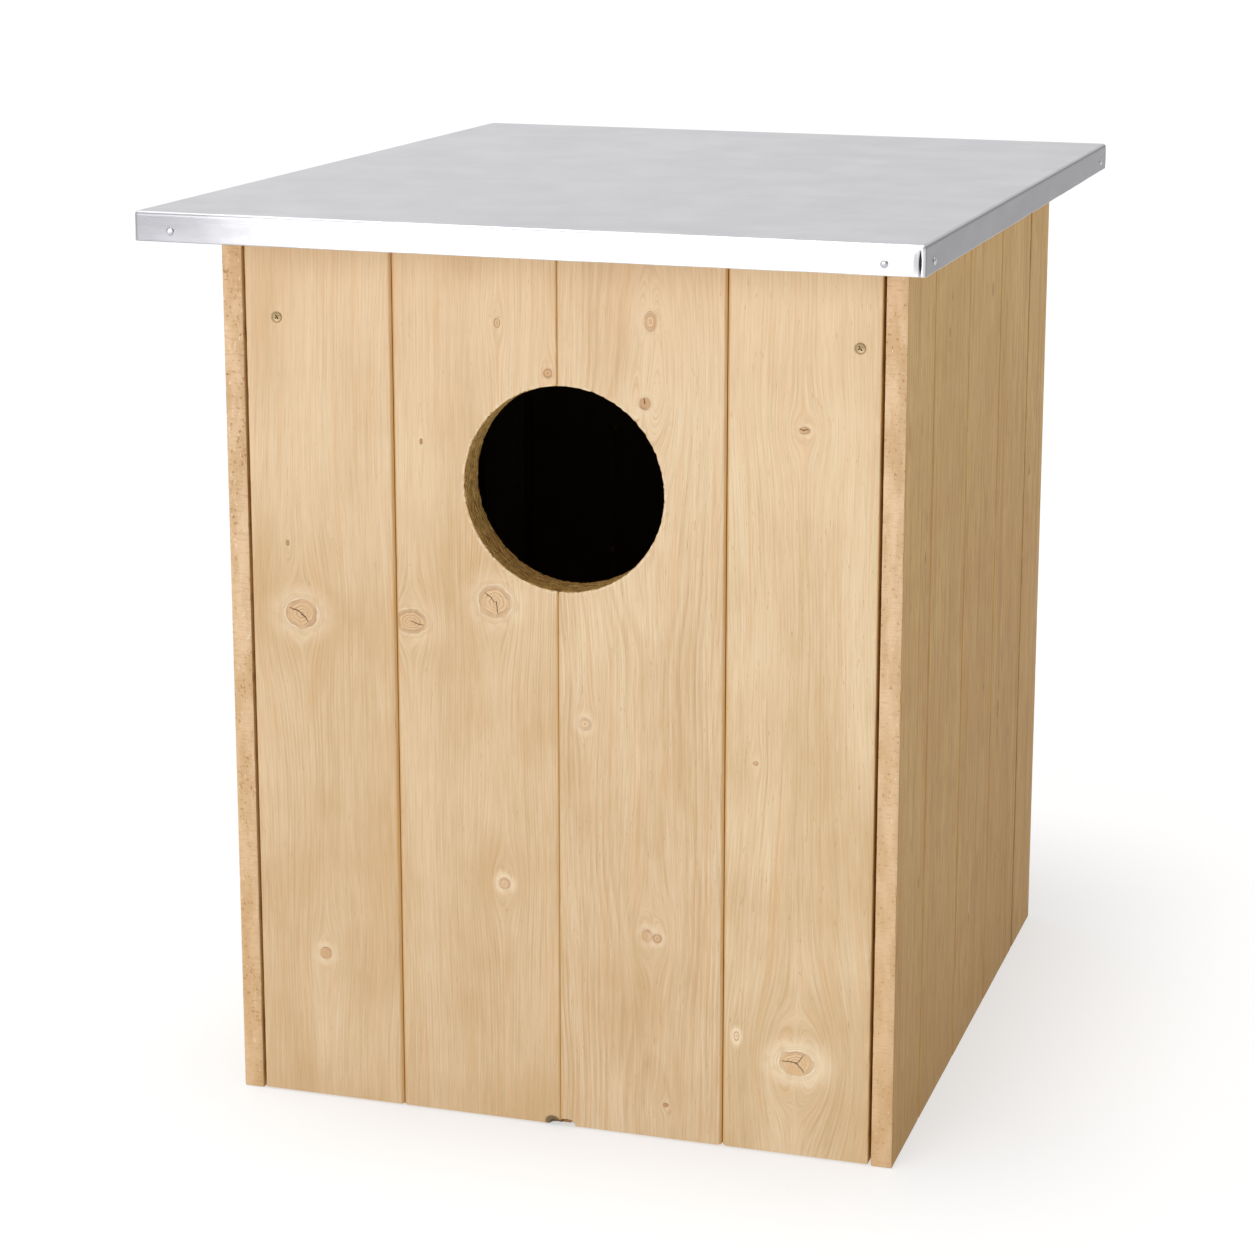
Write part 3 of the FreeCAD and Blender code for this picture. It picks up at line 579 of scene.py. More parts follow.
def circle(count):
    """The cosines and sines of evenly spaced angles round a circle."""
    angles = [2 * math.pi * index / count for index in range(count)]
    return [(math.cos(angle), math.sin(angle)) for angle in angles]


def spread(start, end, step):
    """Evenly spaced values from start up to, but not at, end."""
    count = max(1, round(abs(end - start) / step))
    return [start + (end - start) * index / count for index in range(count)]


def to_mesh(made, name):
    """Ends the making of a mesh."""
    bmesh.ops.recalc_face_normals(made, faces=made.faces)
    mesh = bpy.data.meshes.new(name)
    made.to_mesh(mesh)
    made.free()
    return mesh


def add_solid(made, rows):
    """Adds a closed solid through rings of points, with flat ends."""
    rings = [[made.verts.new(point) for point in row] for row in rows]
    count = len(rings[0])
    for lower, upper in zip(rings, rings[1:]):
        for index in range(count):
            after = (index + 1) % count
            made.faces.new((lower[index], lower[after], upper[after], upper[index]))
    made.faces.new(list(reversed(rings[0])))
    made.faces.new(rings[-1])


def solid_mesh(name, rows):
    """The mesh of one closed solid through rings of points."""
    made = bmesh.new()
    add_solid(made, rows)
    return to_mesh(made, name)


def link(name, mesh, matrix):
    """A new object of a mesh, at a place in the box."""
    made = bpy.data.objects.new(name, mesh)
    scene.collection.objects.link(made)
    made.matrix_world = matrix
    return made


def axes(origin, across, deep, along):
    """The matrix of a frame whose origin is in millimetres."""
    matrix = Matrix.Identity(4)
    for column, axis in enumerate((across, deep, along)):
        for row in range(3):
            matrix[row][column] = axis[row]
    matrix.translation = Vector(origin) * MM
    return matrix


def cut_away(target, cutter):
    """Cuts one mesh object out of another for good, and throws the cutter away."""
    modifier = target.modifiers.new("cut", "BOOLEAN")
    modifier.operation = "DIFFERENCE"
    modifier.solver = "EXACT"
    modifier.object = cutter
    bpy.context.view_layer.update()
    graph = bpy.context.evaluated_depsgraph_get()
    result = bpy.data.meshes.new_from_object(target.evaluated_get(graph))
    target.modifiers.remove(modifier)
    target.data = result
    bpy.data.objects.remove(cutter)


def finish_piece(piece, material, body, node):
    """Dresses a piece, smooths it but for its sharp edges, and makes it ride for its CAD node."""
    mesh = piece.data
    mesh.materials.clear()
    mesh.materials.append(material)
    mesh.polygons.foreach_set("use_smooth", [True] * len(mesh.polygons))
    mesh.set_sharp_from_angle(angle=math.radians(38))
    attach(piece, body)
    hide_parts(node)


# ---------------------------------------------------------------- boards


@dataclass
class Finish:
    """What sets one board of a run apart: the radii of its worn lower corners, how much its
    joint edges have shrunk, how deep their chamfers are, what is cut out of it, which of its
    edges shows saw marks and how far up the chamfers the painted shade of the joint gap reaches."""

    feet: tuple = (0, 0)
    shrink: tuple = (0.15, 0.15)
    vees: tuple = (VEE, VEE)
    cuts: object = None
    sawn: str = None
    dark: tuple = (0, 0)


@dataclass
class Shape:
    """A board's measures, and whether it has a groove and a tongue. slope is how its top rises
    across it."""

    width: float
    length: float
    thickness: float
    groove: bool
    tongue: bool
    slope: float
    finish: Finish


@dataclass
class Run:
    """A row of tongue-and-groove boards. axes are the box's directions of a board's own axes,
    start gives a board's origin from its CAD box, and measure picks its width and length out of
    the box's size. Points on it lie about step apart. top gives its length and the slope of its
    top, where that is sawn along the roof."""

    body: str
    slot: str
    thickness: float
    axes: tuple
    start: object
    measure: object
    step: float
    top: object = None


def chamfer(vee):
    """A joint's chamfer from the edge to the face, as (in from the edge, deep, worn)."""
    return [
        (0, vee, 0.2),
        (vee * 0.5, vee * 0.5, 0.4),
        (vee - 0.22, 0.30, 1),
        (vee + 0.20, 0.05, 1),
        (vee + 0.9, 0, 0.3),
    ]


def outline(shape, step):
    """A board's section, as (across, deep, worn) points. worn says how much an edge has been
    knocked: 1 on an arris, 0 on a flat."""
    width = shape.width
    thickness = shape.thickness
    middle = thickness / 2
    reach = TONGUE_THICK / 2
    gap = reach + GROOVE_SLACK / 2
    soft = 0.6
    if shape.groove:
        left = [
            (0, thickness - 0.5, 0.5),
            (0, middle + gap, 0),
            (TONGUE + GROOVE_SLACK, middle + gap, 0),
            (TONGUE + GROOVE_SLACK, middle - gap, 0),
            (0, middle - gap, 0),
        ]
        left += chamfer(shape.finish.vees[0])
    else:
        left = [(soft, thickness, 0.3), (0.25, thickness - 0.25, 1), (0, thickness - soft, 0.5)]
        left += [(0, depth, 0.1) for depth in spread(thickness - 3.0, 3.0, 2.0)]
        left += [(0, soft, 0.5), (0.25, 0.25, 1), (soft, 0, 0.3)]
    if shape.tongue:
        edge = reversed(chamfer(shape.finish.vees[1]))
        right = [(width - inward, depth, worn) for inward, depth, worn in edge]
        right += [
            (width, middle - reach, 0),
            (width + TONGUE - 0.4, middle - reach, 0),
            (width + TONGUE, middle - reach + 0.5, 0),
            (width + TONGUE, middle + reach - 0.5, 0),
            (width + TONGUE - 0.4, middle + reach, 0),
            (width, middle + reach, 0),
            (width, thickness - 0.5, 0.5),
        ]
    else:
        right = [(width - soft, 0, 0.3), (width - 0.25, 0.25, 1), (width, soft, 0.5)]
        right += [(width, depth, 0.1) for depth in spread(3.0, thickness - 3.0, 2.0)]
        right += [(width, thickness - soft, 0.5), (width - 0.25, thickness - 0.25, 1)]
        right += [(width - soft, thickness, 0.3)]
    face = [(across, 0, 0) for across in spread(left[-1][0], right[0][0], step)[1:]]
    back = [(across, thickness, 0) for across in spread(right[-1][0], left[0][0], 3 * step)[1:]]
    return left + face + right + back


def outward(points, index):
    """The section's outward direction at one of its points."""
    before = Vector(points[index - 1][:2])
    after = Vector(points[(index + 1) % len(points)][:2])
    along = after - before
    return Vector((along.y, -along.x)).normalized()


def stations(length, step):
    """Where along a board its rings of points lie: close together at the ends."""
    ends = [0.0, 0.25, 0.8, 1.8, 3.2]
    middle = spread(5.0, length - 5.0, step)
    return ends + middle + [length - end for end in reversed(ends)]


def rounding(place, radius):
    """How far in a rounded corner lies, at a place less than its radius from the end."""
    if radius <= 0 or place >= radius:
        return 0.0
    return radius - math.sqrt(max(0.0, radius**2 - (radius - place) ** 2))


def board_mesh(name, shape, seed, step):
    """The mesh of a board in its own frame, in metres: across on X, depth on Y, length on Z."""
    width = shape.width
    length = shape.length
    feet = shape.finish.feet
    shrink = shape.finish.shrink
    points = outline(shape, step)
    normals = [outward(points, index) for index in range(len(points))]
    rows = []
    for place in stations(length, step):
        row = []
        for (across, deep, worn), normal in zip(points, normals):
            wave = noise.noise(Vector((across * 0.02 + seed * 7.1, deep * 0.02, place * 0.006)))
            knock = noise.noise(Vector((seed * 3.3 + across, deep, place * 0.09)))
            fine = noise.noise(Vector((seed * 5.7 + across * 0.1, deep, place * 0.5)))
            chip = worn * (max(0.0, knock - 0.28) * 1.3 + fine * 0.12)
            sawn_end = rounding(min(place, length - place), 0.8)
            inward = sawn_end + chip - wave * 0.10
            x = across - normal.x * inward
            y = deep - normal.y * inward
            centre = (2 * across / width - 1) if 0 <= across <= width else 0
            if across < width / 2:
                x += rounding(place, feet[0]) * max(0.0, -centre)
                x += shrink[0] * max(0.0, 1 - across / 4) if shape.groove else 0
            else:
                x -= rounding(place, feet[1]) * max(0.0, centre)
                x -= shrink[1] * max(0.0, 1 - abs(width - across) / 4) if shape.tongue else 0
            top = place * (1 + shape.slope * across / length)
            row.append(Vector((x, y, top)) * MM)
        rows.append(row)
    return solid_mesh(name, rows)


def make_board(run, node, index, last, look, finish):
    """One board of a run, standing in for its CAD node."""
    low, high = box_mm(node)
    groove = index > 0
    tongue = index < last
    width, length = run.measure(high - low)
    width -= TONGUE if tongue else 0
    slope = 0.0
    if run.top is not None:
        length, slope = run.top(low, high, width)
    matrix = axes(run.start(low, high), *run.axes)
    shape = Shape(width, length, run.thickness, groove, tongue, slope, finish)
    piece = link(node + "_wood", board_mesh(node + "_wood", shape, look.seed, run.step), matrix)
    entrance = finish.cuts(piece, matrix, low) if finish.cuts else None
    sawn_edge = {"left": (0.0, 1), "right": (width, -1), None: None}[finish.sawn]
    material = pine(node + "_pine", look, shape, sawn_edge, entrance)
    finish_piece(piece, material, run.body, node)


# ---------------------------------------------------------------- cutters


def entrance_cutter(matrix, centre, thickness):
    """A rough cylinder: sawn by hand, slightly out of round, torn where it leaves the face."""
    around = 260
    tear = 1.4
    depths = [-3, -0.05, 0.35, 0.9, 1.8, 3.5, 6, 9]
    depths += [thickness - 1.2, thickness + 0.05, thickness + 3]
    rows = []
    for depth in depths:
        row = []
        face = max(0.0, 1 - abs(depth) / tear) if depth > -1 else 0.0
        tail = max(0.0, 1 - abs(depth - thickness) / tear)
        for cos, sin in circle(around):
            ring = Vector((cos, sin, 0))
            shape = noise.noise(ring * 1.3) * 0.30
            teeth = noise.noise(ring * 26 + Vector((0, 0, depth * 0.05))) * 0.26
            torn = max(0.0, noise.noise(ring * 34 + Vector((5, 0, 0)))) * 2.2 * (face + tail)
            radius = ENTRANCE_RADIUS - 0.3 + shape + teeth + torn + 0.35 * face
            row.append(Vector((centre[0] + radius * cos, depth, centre[1] + radius * sin)) * MM)
        rows.append(row)
    return link("cutter", solid_mesh("cutter", rows), matrix)


def drill(matrix, centre, profile, around, rough=0.0):
    """A cutter turned about a line through a board, from a profile of (radius, depth)."""
    rows = []
    for radius, depth in profile:
        row = []
        for cos, sin in circle(around):
            uneven = radius + noise.noise(Vector((cos, sin, depth * 0.1)) * 4) * rough
            row.append(Vector((centre[0] + uneven * cos, depth, centre[1] + uneven * sin)) * MM)
        rows.append(row)
    return link("cutter", solid_mesh("cutter", rows), matrix)


def nick_cutter(matrix, low, high, seed):
    """A rough lump that knocks a nick out of a board's edge."""
    made = bmesh.new()
    bmesh.ops.create_icosphere(made, subdivisions=3, radius=1)
    size = (Vector(high) - Vector(low)) / 2
    middle = (Vector(high) + Vector(low)) / 2
    for vert in made.verts:
        bulge = max(abs(part) for part in vert.co)
        square = vert.co / (0.25 * bulge + 0.75)
        rough = 1 + 0.12 * noise.noise(vert.co * 2.5 + Vector((seed, 0, 0)))
        place = Vector((square.x * size.x, square.y * size.y, square.z * size.z)) * rough
        vert.co = (place + middle) * MM
    return link("cutter", to_mesh(made, "cutter"), matrix)


# ---------------------------------------------------------------- the front panel

# The knots of the four front boards. Their places across are measured from the box's middle.
FRONT_KNOTS = (
    (
        Knot(-179, 343, 10.5, 14, 0.20, (150, -38), 0.60, 0.86),
        Knot(-167, 104, 4.0, 8, 0.50, (), 0.6),
        Knot(-188, 391, 1.0, 3, 0.6, (), 0.1, 1.6),
    ),
    (
        Knot(-101, 344, 10.0, 14, 0.14, (-20,), 0.35, 0.75),
        Knot(-42, 362, 10.0, 12, 0.08, (140, -75), 0.55, 0.95),
        Knot(-36.8, 168, 3.6, 10, 0.30, (), 0.9),
        Knot(-38.8, 547, 2.0, 5, 0.20, (), 0.3, 1.5),
        Knot(-4.6, 516, 3.0, 6, 0.40, (), 0.2),
        Knot(-92, 466, 0.9, 2, 0.7, (), 0.1, 1.8),
    ),
    (
        Knot(60.5, 500, 3.7, 16, 0.60, (80,), 0.45),
        Knot(64, 553, 3.5, 12, 0.10, (), 0.25, 1.6),
        Knot(62.5, 142, 3.4, 8, 0.45, (), 0.5, 1.2),
        Knot(69.5, 141, 3.0, 8, 0.45, (), 0.5),
        Knot(20, 284, 3.6, 5, 0.0, (), 0.5),
        Knot(75.7, 24, 1.9, 4, 0.75, (), 0.1, 0.7),
    ),
    (
        Knot(165, 489, 3.6, 9, 0.45, (135, 45), 0.5, 0.6),
        Knot(165, 65, 10.5, 26, 0.30, (170, 60, -60), 0.75, 0.75),
        Knot(135.5, 268, 1.6, 3, 0.35, (), 0.1, 0.8),
        Knot(124, 79, 1.8, 4, 0.0, (), 0.9, 1.8),
    ),
)


def front_looks(starts):
    """The looks of the four front boards, given where their left edges are."""
    first, second, third, fourth = [
        [replace(knot, across=knot.across - start) for knot in knots]
        for start, knots in zip(starts, FRONT_KNOTS)
    ]
    # Spots of painted shade in the nicks at the feet of the second and third boards.
    left_nick_shade = (-4.0 - starts[1], 0.5, 6.0)
    right_nick_shade = (6.0 - starts[2], -1.0, 6.0)
    return [
        Look(1.3, (160, 55), 2.1, 16, 0.40, 0.8, first, FRONT_TINT),
        Look(2.7, (-75, 45), 1.9, 15, 0.42, 0.8, second, FRONT_TINT, left_nick_shade),
        Look(3.9, (58, 62), 2.1, 22, 0.30, 1.1, third, (0.98, 0.98, 0.99), right_nick_shade),
        Look(5.1, (150, 50), 2.2, 20, 0.28, 0.9, fourth, (0.99, 1.0, 1.0)),
    ]


def cut_screw_hole(node, piece, matrix, low):
    """A drilled and countersunk hole for a front screw, rough where the bit left the face."""
    head_low, head_high = box_mm(node)
    centre = ((head_low.x + head_high.x) / 2 - low.x, (head_low.z + head_high.z) / 2 - low.z)
    profile = ((4.2, -0.4), (4.1, 0.0), (3.85, 0.25), (2.3, 1.9), (2.3, BOARD + 1))
    cut_away(piece, drill(matrix, centre, profile, 48, 0.25))


def cut_entrance(piece, matrix, low, thickness):
    """The part of the entrance that goes through one piece. Gives back the hole's middle."""
    centre = (ENTRANCE_X - low.x, ENTRANCE_Z - low.z)
    cut_away(piece, entrance_cutter(matrix, centre, thickness))
    return centre


def cut_first(piece, matrix, low):
    """The left screw's hole."""
    cut_screw_hole("front_screw_left", piece, matrix, low)


def cut_second(piece, matrix, low):
    """The left half of the entrance, and a dark nick in the foot of the board."""
    centre = cut_entrance(piece, matrix, low, BOARD)
    edge = 1.5 - low.x
    cut_away(piece, nick_cutter(matrix, (edge - 8, -3, -4), (edge + 1, 5, 4.2), 1))
    return centre


def cut_third(piece, matrix, low):
    """The right half of the entrance, and a shallow notch in the foot of the board."""
    centre = cut_entrance(piece, matrix, low, BOARD)
    cut_away(piece, nick_cutter(matrix, (-3, -4, -5), (11, 7, 5.0), 2))
    return centre


def cut_fourth(piece, matrix, low):
    """The right screw's hole."""
    cut_screw_hole("front_screw_right", piece, matrix, low)


def make_front():
    """The lift-off front panel's boards."""
    nodes = [f"front_board_{count}" for count in range(1, 5)]
    upright = ((1, 0, 0), (0, 1, 0), (0, 0, 1))
    run = Run(
        "front_panel",
        "pine_boards",
        BOARD,
        upright,
        lambda low, high: low,
        lambda size: (size.x, size.z),
        4.0,
    )
    looks = front_looks([box_mm(node)[0].x for node in nodes])
    wide = 1.7
    tight = 0.8
    finishes = (
        Finish((1.2, 0.6), (0, 0.15), (wide, wide), cut_first),
        Finish((0.6, 1.0), (0.15, 0.05), (wide, tight), cut_second),
        Finish((0.6, 1.8), (0.05, 0.2), (tight, wide), cut_third),
        Finish((1.8, 1.0), (0.2, 0), (wide, wide), cut_fourth),
    )
    for index, node in enumerate(nodes):
        make_board(run, node, index, 3, looks[index], finishes[index])


def make_hole_plate():
    """The plate behind the entrance."""
    node = "front_hole_plate"
    low, high = box_mm(node)
    size = high - low
    shape = Shape(size.x, size.z, size.y, False, False, 0.0, Finish(shrink=(0, 0)))
    # The plate's wood is tinted darker and warmer as painted shade.
    look = Look(31.0, (-60, 40), 2.6, 12, 0.5, 0.9, [], SIDE_SHADE_TINT)
    matrix = axes(low, (1, 0, 0), (0, 1, 0), (0, 0, 1))
    piece = link(node + "_wood", board_mesh(node + "_wood", shape, look.seed, 8.0), matrix)
    centre = cut_entrance(piece, matrix, low, size.y)
    material = pine(node + "_pine", look, shape, None, centre)
    finish_piece(piece, material, "front_panel", node)


# ---------------------------------------------------------------- side walls

# The board, counted from 0, whose joint to the next is the darkest.
OPEN_JOINT = 3


def wall_height(y):
    """Height of a side wall at a place from front to back."""
    return WALL_TOP - SLOPE * (y - FRONT_Y)


def right_top(low, high, width):
    """Length and slope of a board whose own frame starts at its front edge."""
    length = wall_height(low.y)
    return length, (wall_height(low.y + width) - length) / width


def left_top(low, high, width):
    """Length and slope of a board whose own frame starts at its back edge."""
    length = wall_height(high.y)
    return length, (wall_height(high.y - width) - length) / width


def side_run(directions, start, top):
    """The boards of a side wall."""
    return Run(
        "box", "pine_boards", BOARD, directions, start, lambda size: (size.y, size.z), 5.0, top
    )


def side_looks(rng, widths, seed, tint):
    """Straight grain with a few small dark streaks."""
    looks = []
    for index, width in enumerate(widths):
        knots = []
        for _ in range(2):
            place = (rng.uniform(0.2, 0.8) * width, rng.uniform(40, 560))
            knots.append(Knot(*place, rng.uniform(0.8, 1.4), 3, 0.9, (), 0.0, 2.6))
        pith = (width / 2 + rng.choice((-1, 1)) * rng.uniform(90, 140), rng.uniform(30, 70))
        spacing = rng.uniform(2.6, 3.6)
        looks.append(Look(11 + index * 1.7 + seed, pith, spacing, 9, 0.50, 2.3, knots, tint))
    return looks


def make_side(run, nodes, looks, gaps, sawn):
    """One side wall. gaps are how far its joints have opened, and sawn is which edge of the
    wall is ripped, as its boards' own frames see it."""
    last = len(nodes) - 1
    gaps = (0, *gaps, 0)
    for index, node in enumerate(nodes):
        feet = (1.5 if index == 0 else 0.5, 1.5 if index == last else 0.5)
        # The open joint's painted gap shade reaches furthest up its chamfers.
        dark = (1.0 if index == OPEN_JOINT + 1 else 0.2, 1.0 if index == OPEN_JOINT else 0.2)
        ripped = index == (0 if sawn == "left" else last)
        shrink = (gaps[index], gaps[index + 1])
        finish = Finish(feet, shrink, (VEE, VEE), None, sawn if ripped else None, dark)
        make_board(run, node, index, last, looks[index], finish)


def side_parts(name, order, seed, tint):
    """The nodes and looks of a side wall. order says which way its board numbers run."""
    nodes = [f"{name}_wall_board_{count}" for count in order]
    widths = [box_mm(node)[1].y - box_mm(node)[0].y for node in nodes]
    return nodes, side_looks(random.Random(seed), widths, seed, tint)


def make_sides():
    """Both side walls. Each front edge is ripped and shows its saw marks."""
    to_back = ((0, 1, 0), (-1, 0, 0), (0, 0, 1))
    run = side_run(to_back, lambda low, high: (high.x, low.y, 0), right_top)
    # The right wall's wood is tinted darker and warmer as painted shade.
    nodes, looks = side_parts("right", (1, 2, 3, 4, 5), 20, SIDE_SHADE_TINT)
    looks[3].knots.append(Knot(28, 218, 3.4, 6, 0.6, (90,), 0.2, 2.0))
    looks[2].knots.append(Knot(80, 540, 1.4, 3, 0.9, (), 0.0, 3.0))
    make_side(run, nodes, looks, (0.25, 0.2, 0.0, 0.9), "left")

    to_front = ((0, -1, 0), (1, 0, 0), (0, 0, 1))
    run = side_run(to_front, lambda low, high: (low.x, high.y, 0), left_top)
    nodes, looks = side_parts("left", (5, 4, 3, 2, 1), 40, PLAIN_TINT)
    make_side(run, nodes, looks, (0.25, 0.1, 0.15, 0.2), "right")


# ---------------------------------------------------------------- back, floor and roof boards


def make_plain_run(nodes, run, seed, knots, tint=WHITE, cover=None, holed=()):
    """Boards with grain and knots at random. cover is the width that holds the knots, if it is
    less than the whole width, and holed are the boards with floor holes, counted from 0."""
    rng = random.Random(seed)
    for index, node in enumerate(nodes):
        low, high = box_mm(node)
        width, length = run.measure(high - low)
        look = random_look(rng, seed + index * 1.9, cover or width, length, knots, tint)
        finish = Finish(cuts=cut_floor_holes if index in holed else None)
        make_board(run, node, index, len(nodes) - 1, look, finish)


def make_back():
    """The back wall, between the side walls."""
    run = Run(
        "box",
        "pine_boards",
        BOARD,
        ((-1, 0, 0), (0, -1, 0), (0, 0, 1)),
        lambda low, high: (high.x, high.y, low.z),
        lambda size: (size.x, size.z),
        5.0,
    )
    make_plain_run([f"back_wall_board_{count}" for count in range(1, 5)], run, 60, 4, PLAIN_TINT)


def cut_floor_holes(piece, matrix, low):
    """Two drilled holes through a floor board."""
    profile = ((FLOOR_HOLE_RADIUS, -2), (FLOOR_HOLE_RADIUS, BOARD + 2))
    middle = (box_mm("floor_board_2")[1].x - low.x) / 2
    for side in (-1, 1):
        centre = (BOARD_COVER / 2, middle + side * FLOOR_HOLE_SPREAD)
        cut_away(piece, drill(matrix, centre, profile, 32))


def make_floor_boards():
    """The floor, its faces down."""
    run = Run(
        "box",
        "pine_hidden_boards",
        BOARD,
        ((0, 1, 0), (0, 0, 1), (1, 0, 0)),
        lambda low, high: low,
        lambda size: (size.y, size.x),
        9.0,
    )
    make_plain_run([f"floor_board_{count}" for count in range(1, 6)], run, 80, 3, holed=(1, 3))


ROOF_TILT = math.atan(SLOPE)
ROOF_ORIGIN = Vector((0, FRONT_Y, WALL_TOP))
ROOF_BACKWARD = Vector((0, math.cos(ROOF_TILT), -math.sin(ROOF_TILT)))
ROOF_UP = Vector((0, math.sin(ROOF_TILT), math.cos(ROOF_TILT)))
OVERHANG_FRONT = 75.0
ROOF_LENGTH = 673.0
SHEET_HALF = 256.0
DECK_INSET = 1.6


def roof_point(across, back, up):
    """A point given in the roof's sloping frame, in the box's frame."""
    return ROOF_ORIGIN + Vector((across, 0, 0)) + ROOF_BACKWARD * back + ROOF_UP * up


def make_deck():
    """The roof boards under the metal, their faces down."""
    front = DECK_INSET - OVERHANG_FRONT
    length = ROOF_LENGTH - 2 * DECK_INSET
    run = Run(
        "box",
        "pine_hidden_boards",
        ROOF_BOARD,
        ((-1, 0, 0), ROOF_UP, ROOF_BACKWARD),
        lambda low, high: roof_point(high.x, front, 0),
        lambda size: (size.x, length),
        7.0,
    )
    nodes = [f"roof_board_{count}" for count in range(5, 0, -1)]
    make_plain_run(nodes, run, 100, 3, cover=BOARD_COVER)


# ---------------------------------------------------------------- battens

BATTEN_PALE = (0.72, 0.53, 0.32)
BATTEN_DARK = (0.60, 0.40, 0.21)
BATTEN_SAW_MARK = (0.40, 0.24, 0.10)


def rough_pine(name, axis, seed, inside_shade):
    """Sawn pine for battens. axis is the one that the grain runs along, and the last argument is
    how strongly it is painted dark as shade, as inside the box."""
    s = Surface(name)
    place = (s.across, s.deep, s.along)
    along = place[axis]
    side = place[(axis + 1) % 3]
    other = place[(axis + 2) % 3]
    wander = s.noise(seed, side * 0.01, along * 0.006)
    flow = side + (wander - 0.5) * 12
    step = (distance(flow, other + 30.0) / 2.7).calc("FRACT")
    band = step.ramp(0.3, 0.85) * step.ramp(0.9, 1.0, 1.0, 0.0)
    fuzz = s.noise(flow * 1.4, other * 1.4, along * 0.09, 3.0)
    saw = s.noise(side * 0.05, other * 0.05, along * 0.7)
    tone = s.noise(side * 0.03, other * 0.03, along * 0.005)
    s.color = s.mix(tone.ramp(0.3, 0.7), BATTEN_PALE, BATTEN_DARK)
    s.paint(band * 0.4, LATE)
    s.paint(fuzz.ramp(0.4, 0.65, 0.25, 0.0), LATE)
    s.paint(saw.ramp(0.55, 0.75, 0.0, 0.3), BATTEN_SAW_MARK)
    # Painted shade, for battens inside the box.
    s.paint(inside_shade, INSIDE_SHADE)
    s.height = fuzz * 0.8 + saw
    return s.finish(0.8, 0.35)


def dress(node, material, bevel):
    """Gives a CAD node its material, and softens its edges."""
    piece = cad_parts[node]
    piece.data.materials.clear()
    piece.data.materials.append(material)
    if bevel:
        modifier = piece.modifiers.new("soft edges", "BEVEL")
        modifier.width = bevel * MM
        modifier.segments = 2
        modifier.limit_method = "ANGLE"


def make_battens():
    """Posts, rails and cleats keep their CAD shapes."""
    crosswise = ["back_bottom_rail", "back_top_rail", "front_top_rail"]
    crosswise += ["front_cleat_bottom", "front_cleat_middle", "front_cleat_top"]
    lengthwise = ["left_bottom_rail", "left_top_rail", "right_bottom_rail", "right_top_rail"]
    upright = ["front_left_post", "front_right_post", "back_left_post", "back_right_post"]
    for axis, nodes in ((2, upright), (1, lengthwise), (0, crosswise)):
        # The battens sit inside the box, so they are painted dark as shade.
        material = rough_pine(f"sawn_pine_{axis}", axis, 4.0 + axis, 0.85)
        for node in nodes:
            dress(node, material, 0.6)


# ---------------------------------------------------------------- the metal roof

ROOF_METAL = (0.82, 0.82, 0.845)
# Painted shade on the roof's side folds and at the left end of its front and back folds.
SIDE_SHADE_METAL = (0.22, 0.22, 0.235)
LEFT_END_SHADE_METAL = (0.30, 0.30, 0.32)
METAL_GLINT = (0.9, 0.9, 0.92)


def metal(name, base, rough, mottle, side_shade=0.0):
    """Dull metal with cloudy patches and faint rolling lines. The last argument is how strongly
    its left and right faces, and the left end of its front and back faces, are painted grey as
    shade."""
    s = Surface(name)
    cloud = s.noise(s.across * 0.022, s.deep * 0.022, s.along * 0.06, 4.0, 0.6)
    grainy = s.noise(s.across * 0.25, s.deep * 0.25, s.along * 0.25, 4.0, 0.7)
    rolled = s.noise(s.across * 0.01, s.deep * 1.1, s.along * 1.1)
    dark = tuple(part * (1 - mottle) for part in base)
    s.color = s.mix(cloud.ramp(0.3, 0.7), dark, base)
    s.paint(grainy.ramp(0.45, 0.75, 0.0, 0.12), METAL_GLINT)
    if side_shade:
        sideways, backward, _ = s.parts(s.coordinate("Normal"))
        # Painted shade on the left and right faces.
        s.paint(sideways.calc("ABSOLUTE").ramp(0.60, 0.99, 0.0, side_shade), SIDE_SHADE_METAL)
        # Painted shade at the left end of the front and back faces.
        left_end = (s.across + cloud * 80.0).ramp(-215.0, -60.0, 0.92, 0.0)
        s.paint(backward.calc("ABSOLUTE").ramp(0.60, 0.99) * left_end, LEFT_END_SHADE_METAL)
    s.height = rolled + grainy
    s.inputs["Metallic"].default_value = 1.0
    return s.finish((cloud - 0.5) * 0.12 + rough + (rolled - 0.5) * 0.06, 0.05)


BEND = 2.6
BEND_STEPS = 7
SLIT_NEAR = 0.0
SLIT_FAR = 1.5


def marks(low, high):
    """Places along a straight edge: close together near its ends."""
    near = (SLIT_NEAR, 0.75, SLIT_FAR, 2.4, 3.4, 4.6, 6.0, 9.0, 14.0)
    middle = spread(low + 20, high - 20, 8.0)
    return [low + place for place in near] + middle + [high - place for place in reversed(near)]


SHEET_LOW = -OVERHANG_FRONT
SHEET_HIGH = ROOF_LENGTH - OVERHANG_FRONT
ACROSS_MARKS = marks(BEND - SHEET_HALF, SHEET_HALF - BEND)
BACK_MARKS = marks(SHEET_LOW + BEND, SHEET_HIGH - BEND)


